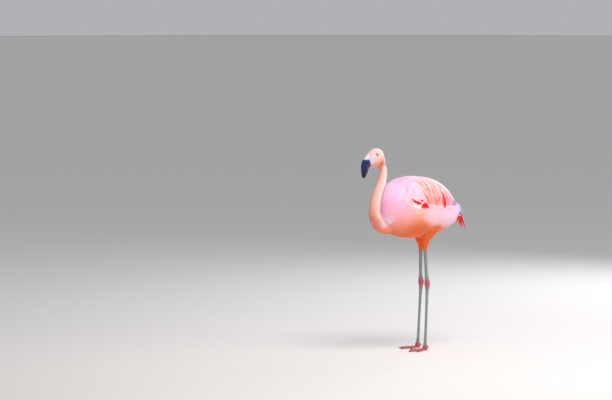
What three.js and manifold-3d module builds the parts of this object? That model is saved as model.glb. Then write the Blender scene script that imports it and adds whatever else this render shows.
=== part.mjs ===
// A Chilean flamingo, life size, standing at rest with its neck drawn back in an S.
// Millimetres, +Z up, standing on z = 0. The bird faces -Y, so its left side is +X.
import * as THREE from "three";
import { mergeVertices } from "three/addons/utils/BufferGeometryUtils.js";
import Module from "manifold-3d";

const wasm = await Module();
wasm.setup();

// ---------------------------------------------------------------- driving dimensions
// Forward distances are counted from the line between the two thighs, heights from the floor.
const GAP = 0.3; // between two pieces that meet
const BODY_MIDDLE_FORWARD = 51.44; // half way between the front of the bill and the tip of the tail
const TRUNK_CENTRE = 25; // forward of the thighs
const TRUNK_HALF_LENGTH = 200;
const TRUNK_FULLNESS = 0.92; // below 1 the ends are blunter than an ellipsoid's
const THIGH_END = 376; // height at which the thigh's feathers end
const ANKLE_HEIGHT = 246;
const TARSUS_END = 16; // height at which the shank meets the foot
const STRIDE = 8; // how far the left thigh is forward of the middle, and the right one back
const HEAD_PITCH = THREE.MathUtils.degToRad(22); // the head's axis points this far down
const HEAD_CENTRE = { forward: 233, height: 723 };
const EYE_RADIUS = 6.2;
const WEB_THICKNESS = 1.6;
const CLAW_LENGTH = 8;

// The trunk's half sizes, as an ellipsoid's, that change along it. mid is the height of its widest part.
const TRUNK = [
  { at: -175, mid: 500, up: 70, down: 76, half: 57 },
  { at: -140, mid: 507, up: 74, down: 86, half: 62 },
  { at: -70, mid: 518, up: 102, down: 99, half: 78 },
  { at: 25, mid: 525, up: 114, down: 109, half: 91 },
  { at: 120, mid: 526, up: 123, down: 115, half: 93 },
  { at: 225, mid: 526, up: 146, down: 122, half: 88 },
];

// The neck's middle line, from inside the breast to inside the head, and its radius there.
const NECK = [
  { at: 0, forward: 146, height: 478, radius: 36 },
  { at: 1, forward: 188, height: 468, radius: 30 },
  { at: 2, forward: 219, height: 480, radius: 25.5 },
  { at: 3, forward: 236, height: 508, radius: 22.5 },
  { at: 4, forward: 236, height: 545, radius: 20.5 },
  { at: 5, forward: 222.5, height: 590, radius: 19 },
  { at: 6, forward: 203.5, height: 632, radius: 17.5 },
  { at: 7, forward: 196.5, height: 674, radius: 14.5 },
  { at: 8, forward: 214, height: 712, radius: 14.5 },
];

// Where the folded wing's lower edge lies on the trunk, in degrees above its widest line, and its thickness.
const WING_FRONT = 136;
const WING_REAR = -152;
const WING_TOP_EDGE = 84;
const WING_THICKNESS = 13;
const WING_EDGE_THICKNESS = 2;
const WING_GAP = 1; // under the whole wing, more than the trunk's facets cut off
const WING_LOWER_EDGE = [
  { at: -152, angle: 24 },
  { at: -100, angle: 4 },
  { at: -41, angle: 1 },
  { at: 40, angle: 3 },
  { at: 90, angle: 9 },
  { at: 136, angle: 24 },
];

// The two halves of the bill. The ridge or keel is the outer edge in profile, the lip is where they close.
const BILL_UPPER = [
  { at: 0, ridgeForward: 248, ridgeHeight: 750, lipForward: 246, lipHeight: 715, half: 14 },
  { at: 1, ridgeForward: 263, ridgeHeight: 742, lipForward: 262, lipHeight: 715, half: 13 },
  { at: 2, ridgeForward: 278, ridgeHeight: 731, lipForward: 275, lipHeight: 711, half: 12 },
  { at: 3, ridgeForward: 291, ridgeHeight: 718, lipForward: 284, lipHeight: 703, half: 11.5 },
  { at: 4, ridgeForward: 298.5, ridgeHeight: 703, lipForward: 289, lipHeight: 693, half: 10.5 },
  { at: 5, ridgeForward: 300.5, ridgeHeight: 685, lipForward: 292, lipHeight: 680, half: 9 },
  { at: 6, ridgeForward: 299.5, ridgeHeight: 665, lipForward: 292.5, lipHeight: 663, half: 7 },
  { at: 7, ridgeForward: 294.5, ridgeHeight: 646, lipForward: 291, lipHeight: 648, half: 3.5 },
];
const BILL_LOWER = [
  { at: 0, ridgeForward: 240, ridgeHeight: 692, lipForward: 245, lipHeight: 713.8, half: 13.5 },
  { at: 1, ridgeForward: 254, ridgeHeight: 690, lipForward: 261, lipHeight: 713.7, half: 13 },
  { at: 2, ridgeForward: 263, ridgeHeight: 688, lipForward: 273.7, lipHeight: 709.8, half: 12.5 },
  { at: 3, ridgeForward: 267, ridgeHeight: 684, lipForward: 282.5, lipHeight: 702, half: 12 },
  { at: 4, ridgeForward: 270, ridgeHeight: 678, lipForward: 287.5, lipHeight: 692.3, half: 11 },
  { at: 5, ridgeForward: 273.5, ridgeHeight: 669, lipForward: 290.3, lipHeight: 679.6, half: 9.5 },
  { at: 6, ridgeForward: 279, ridgeHeight: 658, lipForward: 291, lipHeight: 662.8, half: 7 },
  { at: 7, ridgeForward: 287, ridgeHeight: 649, lipForward: 289.8, lipHeight: 648.8, half: 3.2 },
];

// The feathered thigh, which leans forward as it narrows to the bare shin.
const THIGH = [
  { at: 0, height: THIGH_END, forward: 0, left: 21, radius: 9.5, half: 9 },
  { at: 1, height: 390, forward: 0, left: 22.5, radius: 13, half: 12 },
  { at: 2, height: 408, forward: 0, left: 25.5, radius: 19, half: 17 },
  { at: 3, height: 436, forward: -8, left: 32, radius: 34, half: 25 },
  { at: 4, height: 466, forward: -18, left: 37, radius: 40, half: 25 },
];

// The bare leg below it: the shin, the ankle joint that looks like a backward knee, and the long shank.
const LEG = [
  { at: TARSUS_END, forward: 6, left: 38, radius: 7.5, half: 7 },
  { at: 28, forward: 5, left: 37, radius: 6, half: 5.6 },
  { at: 60, forward: 3, left: 36, radius: 5.2, half: 4.8 },
  { at: 150, forward: -2, left: 33, radius: 5.2, half: 4.8 },
  { at: 220, forward: -6, left: 30, radius: 6.6, half: 6 },
  { at: 234, forward: -7, left: 29.5, radius: 9.2, half: 8.2 },
  { at: ANKLE_HEIGHT, forward: -7, left: 29, radius: 11, half: 9.6 },
  { at: 258, forward: -6, left: 28.5, radius: 9.4, half: 8.4 },
  { at: 274, forward: -4, left: 27.5, radius: 6.6, half: 6.2 },
  { at: 330, forward: -2, left: 24, radius: 6.2, half: 5.8 },
  { at: THIGH_END, forward: 0, left: 21, radius: 7.6, half: 7.2 },
];

// Front toes: their length from the shank's middle, and how far they turn outwards.
const TOES = [
  { name: "inner", length: 62, turn: -23 },
  { name: "middle", length: 84, turn: 2 },
  { name: "outer", length: 74, turn: 26 },
];

const COLOURS = {
  pink: 0xf3b4bb,
  rose: 0xf2a99b,
  salmon: 0xe98a66,
  crimson: 0xd9261c,
  paleTail: 0xecd0dc,
  black: 0x17161a,
  billBase: 0xe6d8de,
  billDark: 0x1a2338,
  legGrey: 0x8f9a97,
  legPink: 0xc8575f,
  horn: 0x2a2422,
  eyeYellow: 0xd9b23a,
};

const finish = (colour, roughness = 0.75) =>
  new THREE.MeshStandardMaterial({ color: colour, roughness, metalness: 0 });

// ---------------------------------------------------------------- tools for shapes
// A smooth curve through one column of a table: cubic pieces whose slopes follow each row's neighbours.
function along(table, column, x) {
  const last = table.length - 1;
  let i = 0;
  while (i < last - 1 && x > table[i + 1].at) i += 1;
  const slope = (k) => {
    const before = table[Math.max(k - 1, 0)];
    const after = table[Math.min(k + 1, last)];
    return (after[column] - before[column]) / (after.at - before.at);
  };
  const span = table[i + 1].at - table[i].at;
  const s = Math.min(Math.max((x - table[i].at) / span, 0), 1);
  const rise = s * s * (3 - 2 * s);
  const bend = s * (1 - s) * span;
  return (
    table[i][column] * (1 - rise) +
    table[i + 1][column] * rise +
    bend * ((1 - s) * slope(i) - s * slope(i + 1))
  );
}

// A point of the bird, from how far forward, how far to its left and how high it is.
const point = (forward, left, height) =>
  new THREE.Vector3(left, BODY_MIDDLE_FORWARD - forward, height);

// Moves each vertex of a closed three.js shape by a function, and merges the seams.
function shaped(geometry, place) {
  geometry.deleteAttribute("normal");
  geometry.deleteAttribute("uv");
  const merged = mergeVertices(geometry, 1e-4);
  const position = merged.getAttribute("position");
  const v = new THREE.Vector3();
  for (let i = 0; i < position.count; i += 1) {
    v.fromBufferAttribute(position, i);
    const p = place(v);
    position.setXYZ(i, p.x, p.y, p.z);
  }
  return merged;
}

// A ball's skin carried to a shape: place takes the angle from the front pole and the angle round.
const ballShape = (round, steps, place) =>
  shaped(new THREE.SphereGeometry(1, round, steps), (v) =>
    place(Math.acos(THREE.MathUtils.clamp(v.y, -1, 1)), Math.atan2(v.z, v.x)),
  );

// A capped cylinder's skin carried to a shape: place takes the share of the length, the angle round
// and the share of the radius, which is 0 only at the middle of a cap.
const tubeShape = (round, steps, place) =>
  shaped(new THREE.CylinderGeometry(1, 1, 1, round, steps), (v) =>
    place(0.5 - v.y, Math.atan2(v.z, v.x), Math.min(Math.hypot(v.x, v.z), 1)),
  );

// Between a three.js shape and a solid that can be joined and cut.
function solid(geometry) {
  const indexed = new wasm.Mesh({
    numProp: 3,
    vertProperties: new Float32Array(geometry.getAttribute("position").array),
    triVerts: new Uint32Array(geometry.getIndex().array),
  });
  const made = new wasm.Manifold(indexed);
  if (made.volume() > 0) return made;
  const flipped = geometry.clone();
  const index = flipped.getIndex();
  for (let i = 0; i < index.count; i += 3) {
    const second = index.getX(i + 1);
    index.setX(i + 1, index.getX(i + 2));
    index.setX(i + 2, second);
  }
  return solid(flipped);
}

function geometryOf(made) {
  const mesh = made.getMesh();
  const geometry = new THREE.BufferGeometry();
  geometry.setAttribute("position", new THREE.BufferAttribute(mesh.vertProperties, 3));
  geometry.setIndex(new THREE.BufferAttribute(mesh.triVerts, 1));
  return geometry;
}

const joined = (solids) => solids.reduce((whole, next) => whole.add(next));
const cutBy = (body, ...cutters) => cutters.reduce((rest, cutter) => rest.subtract(cutter), body);

// The largest of the closed bodies that a cut may leave.
const largest = (made) =>
  made.decompose().reduce((best, next) => (next.volume() > best.volume() ? next : best));

// ---------------------------------------------------------------- the trunk
// An ellipsoid along the bird whose half sizes come from the table; grow swells it on every side.
function trunkPoint(angle, round, grow = 0) {
  const forward = TRUNK_CENTRE + TRUNK_HALF_LENGTH * Math.cos(angle);
  const ring = Math.pow(Math.sin(angle), TRUNK_FULLNESS);
  const row = (column) => along(TRUNK, column, forward);
  const rise = Math.sin(round) > 0 ? row("up") : row("down");
  return point(
    forward + grow * Math.cos(angle),
    (row("half") + grow) * ring * Math.cos(round),
    row("mid") + (rise + grow) * ring * Math.sin(round),
  );
}

const trunkSolid = (grow = 0) =>
  solid(ballShape(26, 20, (angle, round) => trunkPoint(angle, round, grow)));

const angleAt = (forward) =>
  Math.acos(THREE.MathUtils.clamp((forward - TRUNK_CENTRE) / TRUNK_HALF_LENGTH, -1, 1));

// ---------------------------------------------------------------- the neck
// A round tube whose middle line lies in the bird's plane of symmetry.
function neckPoint(t, round, share = 1, grow = 0) {
  const step = 0.01;
  const forward = along(NECK, "forward", t);
  const height = along(NECK, "height", t);
  const ahead = along(NECK, "forward", t + step) - along(NECK, "forward", t - step);
  const rising = along(NECK, "height", t + step) - along(NECK, "height", t - step);
  const length = Math.hypot(ahead, rising);
  const radius = (along(NECK, "radius", t) + grow) * share;
  const out = radius * Math.sin(round);
  return point(
    forward - (out * rising) / length,
    radius * Math.cos(round),
    height + (out * ahead) / length,
  );
}

const neckSolid = (from, to, grow = 0) =>
  solid(
    tubeShape(14, Math.round((to - from) * 3.5), (s, round, share) =>
      neckPoint(from + (to - from) * s, round, share, grow),
    ),
  );

// ---------------------------------------------------------------- the head
// Two half ellipsoids back to back along an axis that points forward and down.
const HEAD = { back: 35, front: 49, up: 32.5, down: 37, half: 24 };

function headPoint(angle, round, grow = 0) {
  const reach = Math.cos(angle) > 0 ? HEAD.front : HEAD.back;
  const out = (reach + grow) * Math.cos(angle);
  const rise = Math.sin(round) > 0 ? HEAD.up : HEAD.down;
  const over = (rise + grow) * Math.sin(angle) * Math.sin(round);
  return point(
    HEAD_CENTRE.forward + out * Math.cos(HEAD_PITCH) + over * Math.sin(HEAD_PITCH),
    (HEAD.half + grow) * Math.sin(angle) * Math.cos(round),
    HEAD_CENTRE.height - out * Math.sin(HEAD_PITCH) + over * Math.cos(HEAD_PITCH),
  );
}

const headSolid = (grow = 0) =>
  solid(ballShape(20, 14, (angle, round) => headPoint(angle, round, grow)));

// The eye is set into the side of the head, so that a third of it stands out.
const EYE_ANGLE = THREE.MathUtils.degToRad(84);
const EYE_ROUND = THREE.MathUtils.degToRad(27);
const EYE_DEPTH = 3.6;

function eyeSolid(side, grow = 0) {
  const centre = headPoint(EYE_ANGLE, EYE_ROUND, -EYE_DEPTH);
  return solid(
    shaped(new THREE.SphereGeometry(EYE_RADIUS + grow, 12, 8), (v) =>
      new THREE.Vector3(side * centre.x + v.x, centre.y + v.y, centre.z + v.z),
    ),
  );
}

// ---------------------------------------------------------------- the bill
// One half of the bill: each section is half an ellipse that stands on the flat lip.
const billSolid = (table, grow = 0) =>
  solid(
    tubeShape(12, 11, (s, round, share) => {
      const t = s * (table.length - 1);
      const row = (column) => along(table, column, t);
      const over = Math.max(Math.sin(round), 0) * share;
      const forward = row("ridgeForward") - row("lipForward");
      const height = row("ridgeHeight") - row("lipHeight");
      const swell = 1 + grow / Math.hypot(forward, height);
      return point(
        row("lipForward") + over * forward * swell,
        (row("half") + grow) * Math.cos(round) * share,
        row("lipHeight") + over * height * swell,
      );
    }),
  );

// ---------------------------------------------------------------- the wings
// A folded wing is a layer on the trunk's flank: thick in the middle, thin at its edges, and notched
// along its lower edge by the tips of the long feathers.
const WING_TIPS = 7;

function wingSolid(side, grow = 0) {
  const geometry = shaped(new THREE.BoxGeometry(1, 1, 1, 20, 7, 1), (v) => {
    const s = v.x + 0.5;
    const t = v.y + 0.5;
    const forward = WING_FRONT + (WING_REAR - WING_FRONT) * s + grow * (1 - 2 * s);
    const notch = Math.abs(Math.sin(Math.PI * s * WING_TIPS)) * 3 * s;
    const low = along(WING_LOWER_EDGE, "angle", forward) - notch - grow;
    const round = THREE.MathUtils.degToRad(low + (WING_TOP_EDGE + grow - low) * t);
    const middle = Math.pow(Math.sin(Math.PI * s), 0.6) * Math.pow(Math.sin(Math.PI * t), 0.6);
    const bulk = (WING_THICKNESS - WING_EDGE_THICKNESS) * (1.15 - 0.7 * s);
    const outer = WING_EDGE_THICKNESS + bulk * middle;
    const p = trunkPoint(angleAt(forward), round, v.z > 0 ? outer + grow : WING_GAP - grow);
    return new THREE.Vector3(side * p.x, p.y, p.z);
  });
  return solid(geometry);
}

// ---------------------------------------------------------------- long feathers
// A feather's vane: a flat lens that narrows to its tip, carried from its root along a drooping curve.
function vaneSolid({ root, heading, droop, length, half, thickness, side = 1, lean = 0 }) {
  const ahead = new THREE.Vector3(...heading).normalize();
  const across = new THREE.Vector3(1, 0, 0).addScaledVector(ahead, -ahead.x).normalize();
  const tilt = new THREE.Quaternion().setFromAxisAngle(ahead, lean);
  across.applyQuaternion(tilt);
  const over = new THREE.Vector3().crossVectors(ahead, across);
  return solid(
    ballShape(6, 6, (angle, round) => {
      const s = (1 - Math.cos(angle)) / 2;
      const width = half * Math.sin(angle) * (1 - 0.35 * s) * Math.cos(round);
      const lift = Math.max(thickness * Math.sin(angle), 0.05) * Math.sin(round);
      const p = root
        .clone()
        .addScaledVector(ahead, length * s)
        .addScaledVector(across, width)
        .addScaledVector(over, lift);
      p.z -= droop * s * s;
      return new THREE.Vector3(side * p.x, p.y, p.z);
    }),
  );
}

// The tail: a fan of short broad feathers that comes out of a soft cone of coverts.
const TAIL_FEATHERS = 5;
const TAIL_SPREAD = 0.3;

function tailSolid(grow = 0) {
  const coverts = solid(
    ballShape(12, 8, (angle, round) =>
      point(
        -142 + (54 + grow) * Math.cos(angle),
        (30 + grow) * Math.sin(angle) * Math.cos(round),
        503 + (28 + grow) * Math.sin(angle) * Math.sin(round),
      ),
    ),
  );
  const fan = Array.from({ length: TAIL_FEATHERS }, (_, i) => {
    const share = (2 * i) / (TAIL_FEATHERS - 1) - 1;
    return vaneSolid({
      root: point(-130, 14 * share, 512 - 4 * share * share),
      heading: [TAIL_SPREAD * share, 1, 0.1],
      droop: 8 + 6 * share * share,
      length: 68 - 8 * share * share,
      half: 13 + grow,
      thickness: 3 + grow,
      lean: 0.35 * share,
    });
  });
  return joined([coverts, ...fan]);
}

// The long crimson plumes at the root of the tail. The left ones hang, the right ones are tucked up.
const PLUME_ROOT = { forward: -156, left: 27, height: 507 };
const PLUMES = {
  left: [
    { heading: [0.02, 0.4, -0.92], length: 76, half: 6 },
    { heading: [0.04, 0.06, -1], length: 52, half: 6 },
    { heading: [0.06, -0.4, -0.9], length: 38, half: 5 },
  ],
  right: [
    { heading: [-0.1, 0.9, -0.42], length: 44, half: 6 },
    { heading: [-0.1, 0.7, -0.7], length: 38, half: 5 },
  ],
};

function plumeSolid(name, side) {
  const root = point(PLUME_ROOT.forward, PLUME_ROOT.left, PLUME_ROOT.height);
  return joined(
    PLUMES[name].map(({ heading, length, half }) =>
      vaneSolid({ root, heading, length, half, droop: 4, thickness: 2.2, side, lean: 1.3 }),
    ),
  );
}

// The black tips of the flight feathers, which show behind the end of the folded wing.
function wingTipSolid(side) {
  const from = trunkPoint(angleAt(-118), THREE.MathUtils.degToRad(44), 5);
  const to = trunkPoint(angleAt(-164), THREE.MathUtils.degToRad(58), 4);
  const heading = to.clone().sub(from);
  return vaneSolid({
    root: from,
    heading: heading.toArray(),
    droop: 2,
    length: 1.25 * heading.length(),
    half: 12,
    thickness: 3,
    side,
    lean: 0.9,
  });
}

// ---------------------------------------------------------------- the legs
const stride = (side) => side * STRIDE;

function thighSolid(side, grow = 0) {
  return solid(
    tubeShape(14, 7, (s, round, share) => {
      const t = (1 - s) * (THIGH.length - 1);
      const row = (column) => along(THIGH, column, t);
      return point(
        row("forward") + stride(side) + (row("radius") + grow) * Math.sin(round) * share,
        side * (row("left") + (row("half") + grow) * Math.cos(round) * share),
        row("height"),
      );
    }),
  );
}

// A length of the bare leg between two heights. The feet stand twice as far apart as the thighs.
function legSolid(side, low, high, steps, grow = 0) {
  return solid(
    tubeShape(10, steps, (s, round, share) => {
      const height = high - (high - low) * s;
      const row = (column) => along(LEG, column, height);
      const apart = stride(side) * (1 + (THIGH_END - height) / THIGH_END);
      return point(
        row("forward") + apart + (row("radius") + grow) * Math.sin(round) * share,
        side * (row("left") + (row("half") + grow) * Math.cos(round) * share),
        height,
      );
    }),
  );
}

const footCentre = (side) => ({
  forward: LEG[0].forward + stride(side) * (1 + (THIGH_END - TARSUS_END) / THIGH_END),
  left: LEG[0].left,
});

// A point near the floor, from its distance along a toe and to that toe's outer side.
function toePoint(side, toe, out, aside, height) {
  const turn = THREE.MathUtils.degToRad(toe.turn);
  const centre = footCentre(side);
  return point(
    centre.forward + out * Math.cos(turn) - aside * Math.sin(turn),
    side * (centre.left + out * Math.sin(turn) + aside * Math.cos(turn)),
    height,
  );
}

// A toe is a low tube, flat below, that swells a little at each of its joints.
function toeSolid(side, toe) {
  const reach = toe.length - CLAW_LENGTH;
  return solid(
    tubeShape(8, 7, (s, round, share) => {
      const joint = 0.45 * Math.cos(s * Math.PI * 6);
      const half = 5 - 1.6 * s + joint;
      const rise = 8 - 3.2 * s + joint;
      return toePoint(
        side,
        toe,
        reach * s,
        half * Math.cos(round) * share,
        Math.max(Math.sin(round), 0) * rise * share,
      );
    }),
  );
}

// The web between two toes is a thin plate whose front edge is drawn in.
function webSolid(side) {
  const [inner, middle, outer] = TOES;
  const flat = (toe, out) => {
    const p = toePoint(side, toe, out, 0, 0);
    return new THREE.Vector2(p.x, p.y);
  };
  const innerTip = flat(inner, inner.length - 12);
  const middleTip = flat(middle, middle.length - 16);
  const outerTip = flat(outer, outer.length - 14);
  const innerBay = flat({ turn: (inner.turn + middle.turn) / 2 }, 54);
  const outerBay = flat({ turn: (outer.turn + middle.turn) / 2 }, 58);
  const outline = new THREE.Shape();
  outline.moveTo(...flat(middle, 0).toArray());
  outline.lineTo(innerTip.x, innerTip.y);
  outline.quadraticCurveTo(innerBay.x, innerBay.y, middleTip.x, middleTip.y);
  outline.quadraticCurveTo(outerBay.x, outerBay.y, outerTip.x, outerTip.y);
  outline.closePath();
  const plate = new THREE.ExtrudeGeometry(outline, {
    depth: WEB_THICKNESS,
    bevelEnabled: false,
    curveSegments: 4,
  });
  return solid(shaped(plate, (v) => v));
}

// The knob at the root of the toes, flat below, up to the end of the shank.
function footRootSolid(side, grow = 0) {
  const centre = footCentre(side);
  return solid(
    tubeShape(10, 3, (s, round, share) => {
      const swell = 1 + 0.35 * Math.sin(Math.PI * s);
      return point(
        centre.forward + (7.5 * swell + grow) * Math.sin(round) * share,
        side * (centre.left + (7 * swell + grow) * Math.cos(round) * share),
        (TARSUS_END - GAP) * (1 - s),
      );
    }),
  );
}

const footSolid = (side) =>
  joined([footRootSolid(side), webSolid(side), ...TOES.map((toe) => toeSolid(side, toe))]);

// The small hind toe hangs from the back of the shank, clear of the floor.
function hindToeSolid(side) {
  const centre = footCentre(side);
  return solid(
    tubeShape(8, 4, (s, round, share) => {
      const radius = 3.2 - 2 * s * s;
      return point(
        centre.forward - 2 - 20 * s,
        side * (centre.left + radius * Math.cos(round) * share),
        22 - 17 * s + radius * Math.sin(round) * share,
      );
    }),
  );
}

// A blunt claw that goes on from the end of its toe.
function clawSolid(side, toe) {
  const start = toe.length - CLAW_LENGTH + GAP;
  return solid(
    tubeShape(6, 3, (s, round, share) => {
      const size = Math.sqrt(1 - 0.9 * s * s);
      return toePoint(
        side,
        toe,
        start + CLAW_LENGTH * s,
        2.7 * size * Math.cos(round) * share,
        0.4 + 1.9 * (1 - 0.4 * s) * (1 + Math.sin(round) * share * size),
      );
    }),
  );
}

// ---------------------------------------------------------------- the bird
const bird = new THREE.Group();

function add(name, made, material) {
  const mesh = new THREE.Mesh(geometryOf(largest(made)), material);
  mesh.name = name;
  bird.add(mesh);
}

const SIDES = [
  { name: "left", side: 1 },
  { name: "right", side: -1 },
];

const trunkCutter = trunkSolid(GAP);
const headCutter = headSolid(GAP);
const neckBase = neckSolid(0, 2.2);
const tail = cutBy(tailSolid(), trunkCutter);
const tailCutter = tailSolid(GAP);

add("trunk", trunkSolid(), finish(COLOURS.pink));
add("neck_base", cutBy(neckBase, trunkCutter), finish(COLOURS.salmon));
add("neck_lower", cutBy(neckSolid(2.21, 4.2), trunkCutter), finish(COLOURS.rose));
add("neck_middle", cutBy(neckSolid(4.21, 6.2), trunkCutter), finish(COLOURS.rose));
add("neck_upper", cutBy(neckSolid(6.21, 8), headCutter), finish(COLOURS.rose));
add("tail", tail, finish(COLOURS.paleTail));

const eyeCutters = SIDES.map(({ side }) => eyeSolid(side, GAP));
add("head", cutBy(headSolid(), ...eyeCutters), finish(COLOURS.pink));
add("bill_upper", cutBy(billSolid(BILL_UPPER), headCutter), finish(COLOURS.billBase, 0.4));
add("bill_lower", cutBy(billSolid(BILL_LOWER), headCutter), finish(COLOURS.billDark, 0.3));

for (const { name, side } of SIDES) {
  const wingCutter = wingSolid(side, GAP);
  const wingTip = cutBy(wingTipSolid(side), trunkCutter, wingCutter, tailCutter);
  const plumes = cutBy(plumeSolid(name, side), trunkCutter, wingCutter, tailCutter);
  add(`eye_${name}`, eyeSolid(side), finish(COLOURS.eyeYellow, 0.15));
  add(`wing_${name}`, wingSolid(side), finish(COLOURS.pink));
  add(`wing_tip_${name}`, wingTip, finish(COLOURS.black, 0.6));
  add(`plumes_${name}`, plumes, finish(COLOURS.crimson, 0.6));
  add(`thigh_${name}`, cutBy(thighSolid(side), trunkCutter), finish(COLOURS.salmon));
  const ankle = [ANKLE_HEIGHT - 18, ANKLE_HEIGHT + 18];
  add(`shin_${name}`, legSolid(side, ankle[1] + GAP, THIGH_END - GAP, 6), finish(COLOURS.legGrey));
  add(`ankle_${name}`, legSolid(side, ...ankle, 7), finish(COLOURS.legPink));
  add(`shank_${name}`, legSolid(side, TARSUS_END, ankle[0] - GAP, 9), finish(COLOURS.legGrey));
  const shankCutter = legSolid(side, TARSUS_END - GAP, ankle[0] - GAP, 9, GAP);
  const hindToe = cutBy(hindToeSolid(side), shankCutter, footRootSolid(side, GAP));
  add(`foot_${name}`, footSolid(side), finish(COLOURS.legPink));
  add(`hind_toe_${name}`, hindToe, finish(COLOURS.legPink));
  for (const toe of TOES)
    add(`claw_${name}_${toe.name}`, clawSolid(side, toe), finish(COLOURS.horn, 0.4));
}

export default bird;
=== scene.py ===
"""A Chilean flamingo, life size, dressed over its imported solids.

One skin stands for all the flesh. Over it lies a coat of small feathers in rows, each a thin closed
vane, then the long feathers of the folded wings, the tail, the plumes and the black wing tips. The
bill, the eyes and the claws are pieces of their own.

Lengths in the tables are millimetres: forward of the line between the thighs, left of the bird's
middle, and above the floor. The bird faces -Y and its left side is +X. Meshes are made in metres.
"""

import bpy
import numpy as np
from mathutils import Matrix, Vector


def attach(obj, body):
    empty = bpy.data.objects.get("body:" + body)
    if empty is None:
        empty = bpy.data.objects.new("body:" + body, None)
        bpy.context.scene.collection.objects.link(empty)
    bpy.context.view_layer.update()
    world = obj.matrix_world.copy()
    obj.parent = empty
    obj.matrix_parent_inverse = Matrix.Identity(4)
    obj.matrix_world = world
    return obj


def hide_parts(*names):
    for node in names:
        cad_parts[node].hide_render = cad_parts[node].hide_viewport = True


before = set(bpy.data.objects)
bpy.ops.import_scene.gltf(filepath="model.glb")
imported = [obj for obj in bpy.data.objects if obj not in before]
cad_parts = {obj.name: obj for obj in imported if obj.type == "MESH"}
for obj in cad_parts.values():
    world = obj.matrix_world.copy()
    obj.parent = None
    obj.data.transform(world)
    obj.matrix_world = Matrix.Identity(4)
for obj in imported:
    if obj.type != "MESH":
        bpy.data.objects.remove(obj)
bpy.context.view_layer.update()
SCENE = bpy.context.scene
CHANCE = np.random.default_rng(71)
SIDES = ((1, "left"), (-1, "right"))

# ------------------------------------------------------------------ sizes shared with the solids
MIDDLE_FORWARD = 51.44
TRUNK_CENTRE, TRUNK_HALF_LENGTH, TRUNK_FULLNESS = 25.0, 200.0, 0.92
STRIDE = 8.0
THIGH_END = 376.0
HEAD_CENTRE = (233.0, 723.0)
HEAD_PITCH = np.radians(22.0)
HEAD_BACK, HEAD_FRONT, HEAD_UP, HEAD_DOWN, HEAD_HALF = 35.0, 49.0, 32.5, 37.0, 24.0
EYE_RADIUS, EYE_DEPTH = 6.2, 3.6
EYE_ANGLE, EYE_ROUND = np.radians(84.0), np.radians(27.0)
WING_FRONT, WING_REAR, WING_TOP = 136.0, -152.0, 84.0
NAPE_CENTRE, NAPE_HALF, NAPE_RISE = (209.0, 708.0), 15.5, 24.0
TAIL_CENTRE = (-142.0, 503.0)
TAIL_FRONT, TAIL_BACK, TAIL_HALF, TAIL_RISE = 54.0, 42.0, 30.0, 28.0

# forward, height of the widest line, half sizes up, down and sideways
TRUNK = np.array([
    [-175, 500, 70, 76, 57], [-140, 507, 74, 86, 62], [-70, 518, 102, 99, 78],
    [25, 525, 114, 109, 91], [120, 526, 123, 115, 93], [225, 526, 146, 122, 88]], float)
# step, forward, height, radius
NECK = np.array([
    [0, 146, 478, 36], [1, 188, 468, 30], [2, 219, 480, 25.5], [3, 236, 508, 22.5],
    [4, 236, 545, 20.5], [5, 222.5, 590, 19], [6, 203.5, 632, 17.5], [7, 196.5, 674, 14.5],
    [8, 214, 712, 14.5]], float)
# forward, degrees above the trunk's widest line
WING_EDGE = np.array([[-152, 24], [-100, 4], [-41, 1], [40, 3], [90, 9], [136, 24]], float)
# height, forward, left, radius fore and aft, half width
THIGH = np.array([
    [376, 0, 21, 9.5, 9], [390, 0, 22.5, 13, 12], [408, 0, 25.5, 19, 17],
    [436, -8, 32, 34, 25], [466, -18, 37, 40, 25]], float)
LEG = np.array([
    [16, 6, 38, 7.5, 7], [28, 5, 37, 6, 5.6], [60, 3, 36, 5.2, 4.8], [150, -2, 33, 5.2, 4.8],
    [220, -6, 30, 6.6, 6], [234, -7, 29.5, 9.2, 8.2], [246, -7, 29, 11, 9.6],
    [258, -6, 28.5, 9.4, 8.4], [274, -4, 27.5, 6.6, 6.2], [330, -2, 24, 6.2, 5.8],
    [376, 0, 21, 7.6, 7.2]], float)
# step, ridge forward, ridge height, lip forward, lip height, half width
BILL_UPPER = np.array([
    [0, 248, 750, 246, 715, 14], [1, 263, 742, 262, 715, 13], [2, 278, 731, 275, 711, 12],
    [3, 291, 718, 284, 703, 11.5], [4, 298.5, 703, 289, 693, 10.5], [5, 300.5, 685, 292, 680, 9],
    [6, 299.5, 665, 292.5, 663, 7], [7, 294.5, 646, 291, 648, 3.5]], float)
BILL_LOWER = np.array([
    [0, 240, 692, 245, 713.8, 13.5], [1, 254, 690, 261, 713.7, 13],
    [2, 263, 688, 273.7, 709.8, 12.5], [3, 267, 684, 282.5, 702, 12],
    [4, 270, 678, 287.5, 692.3, 11], [5, 273.5, 669, 290.3, 679.6, 9.5],
    [6, 279, 658, 291, 662.8, 7], [7, 287, 649, 289.8, 648.8, 3.2]], float)
# length from the shank's middle, and turn outwards in degrees
TOES = {"inner": (62.0, -23.0), "middle": (84.0, 2.0), "outer": (74.0, 26.0)}
CLAW_LENGTH = 8.0

# How far from an eye's middle the head's feathers begin, in metres.
LID_REACH = 0.0072

# How far the skin lies inside the solids, which is the depth of the coat there.
TRUNK_COAT, NECK_COAT, HEAD_COAT, THIGH_COAT, TAIL_COAT = 5.0, 2.6, 1.4, 4.0, 5.0


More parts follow.
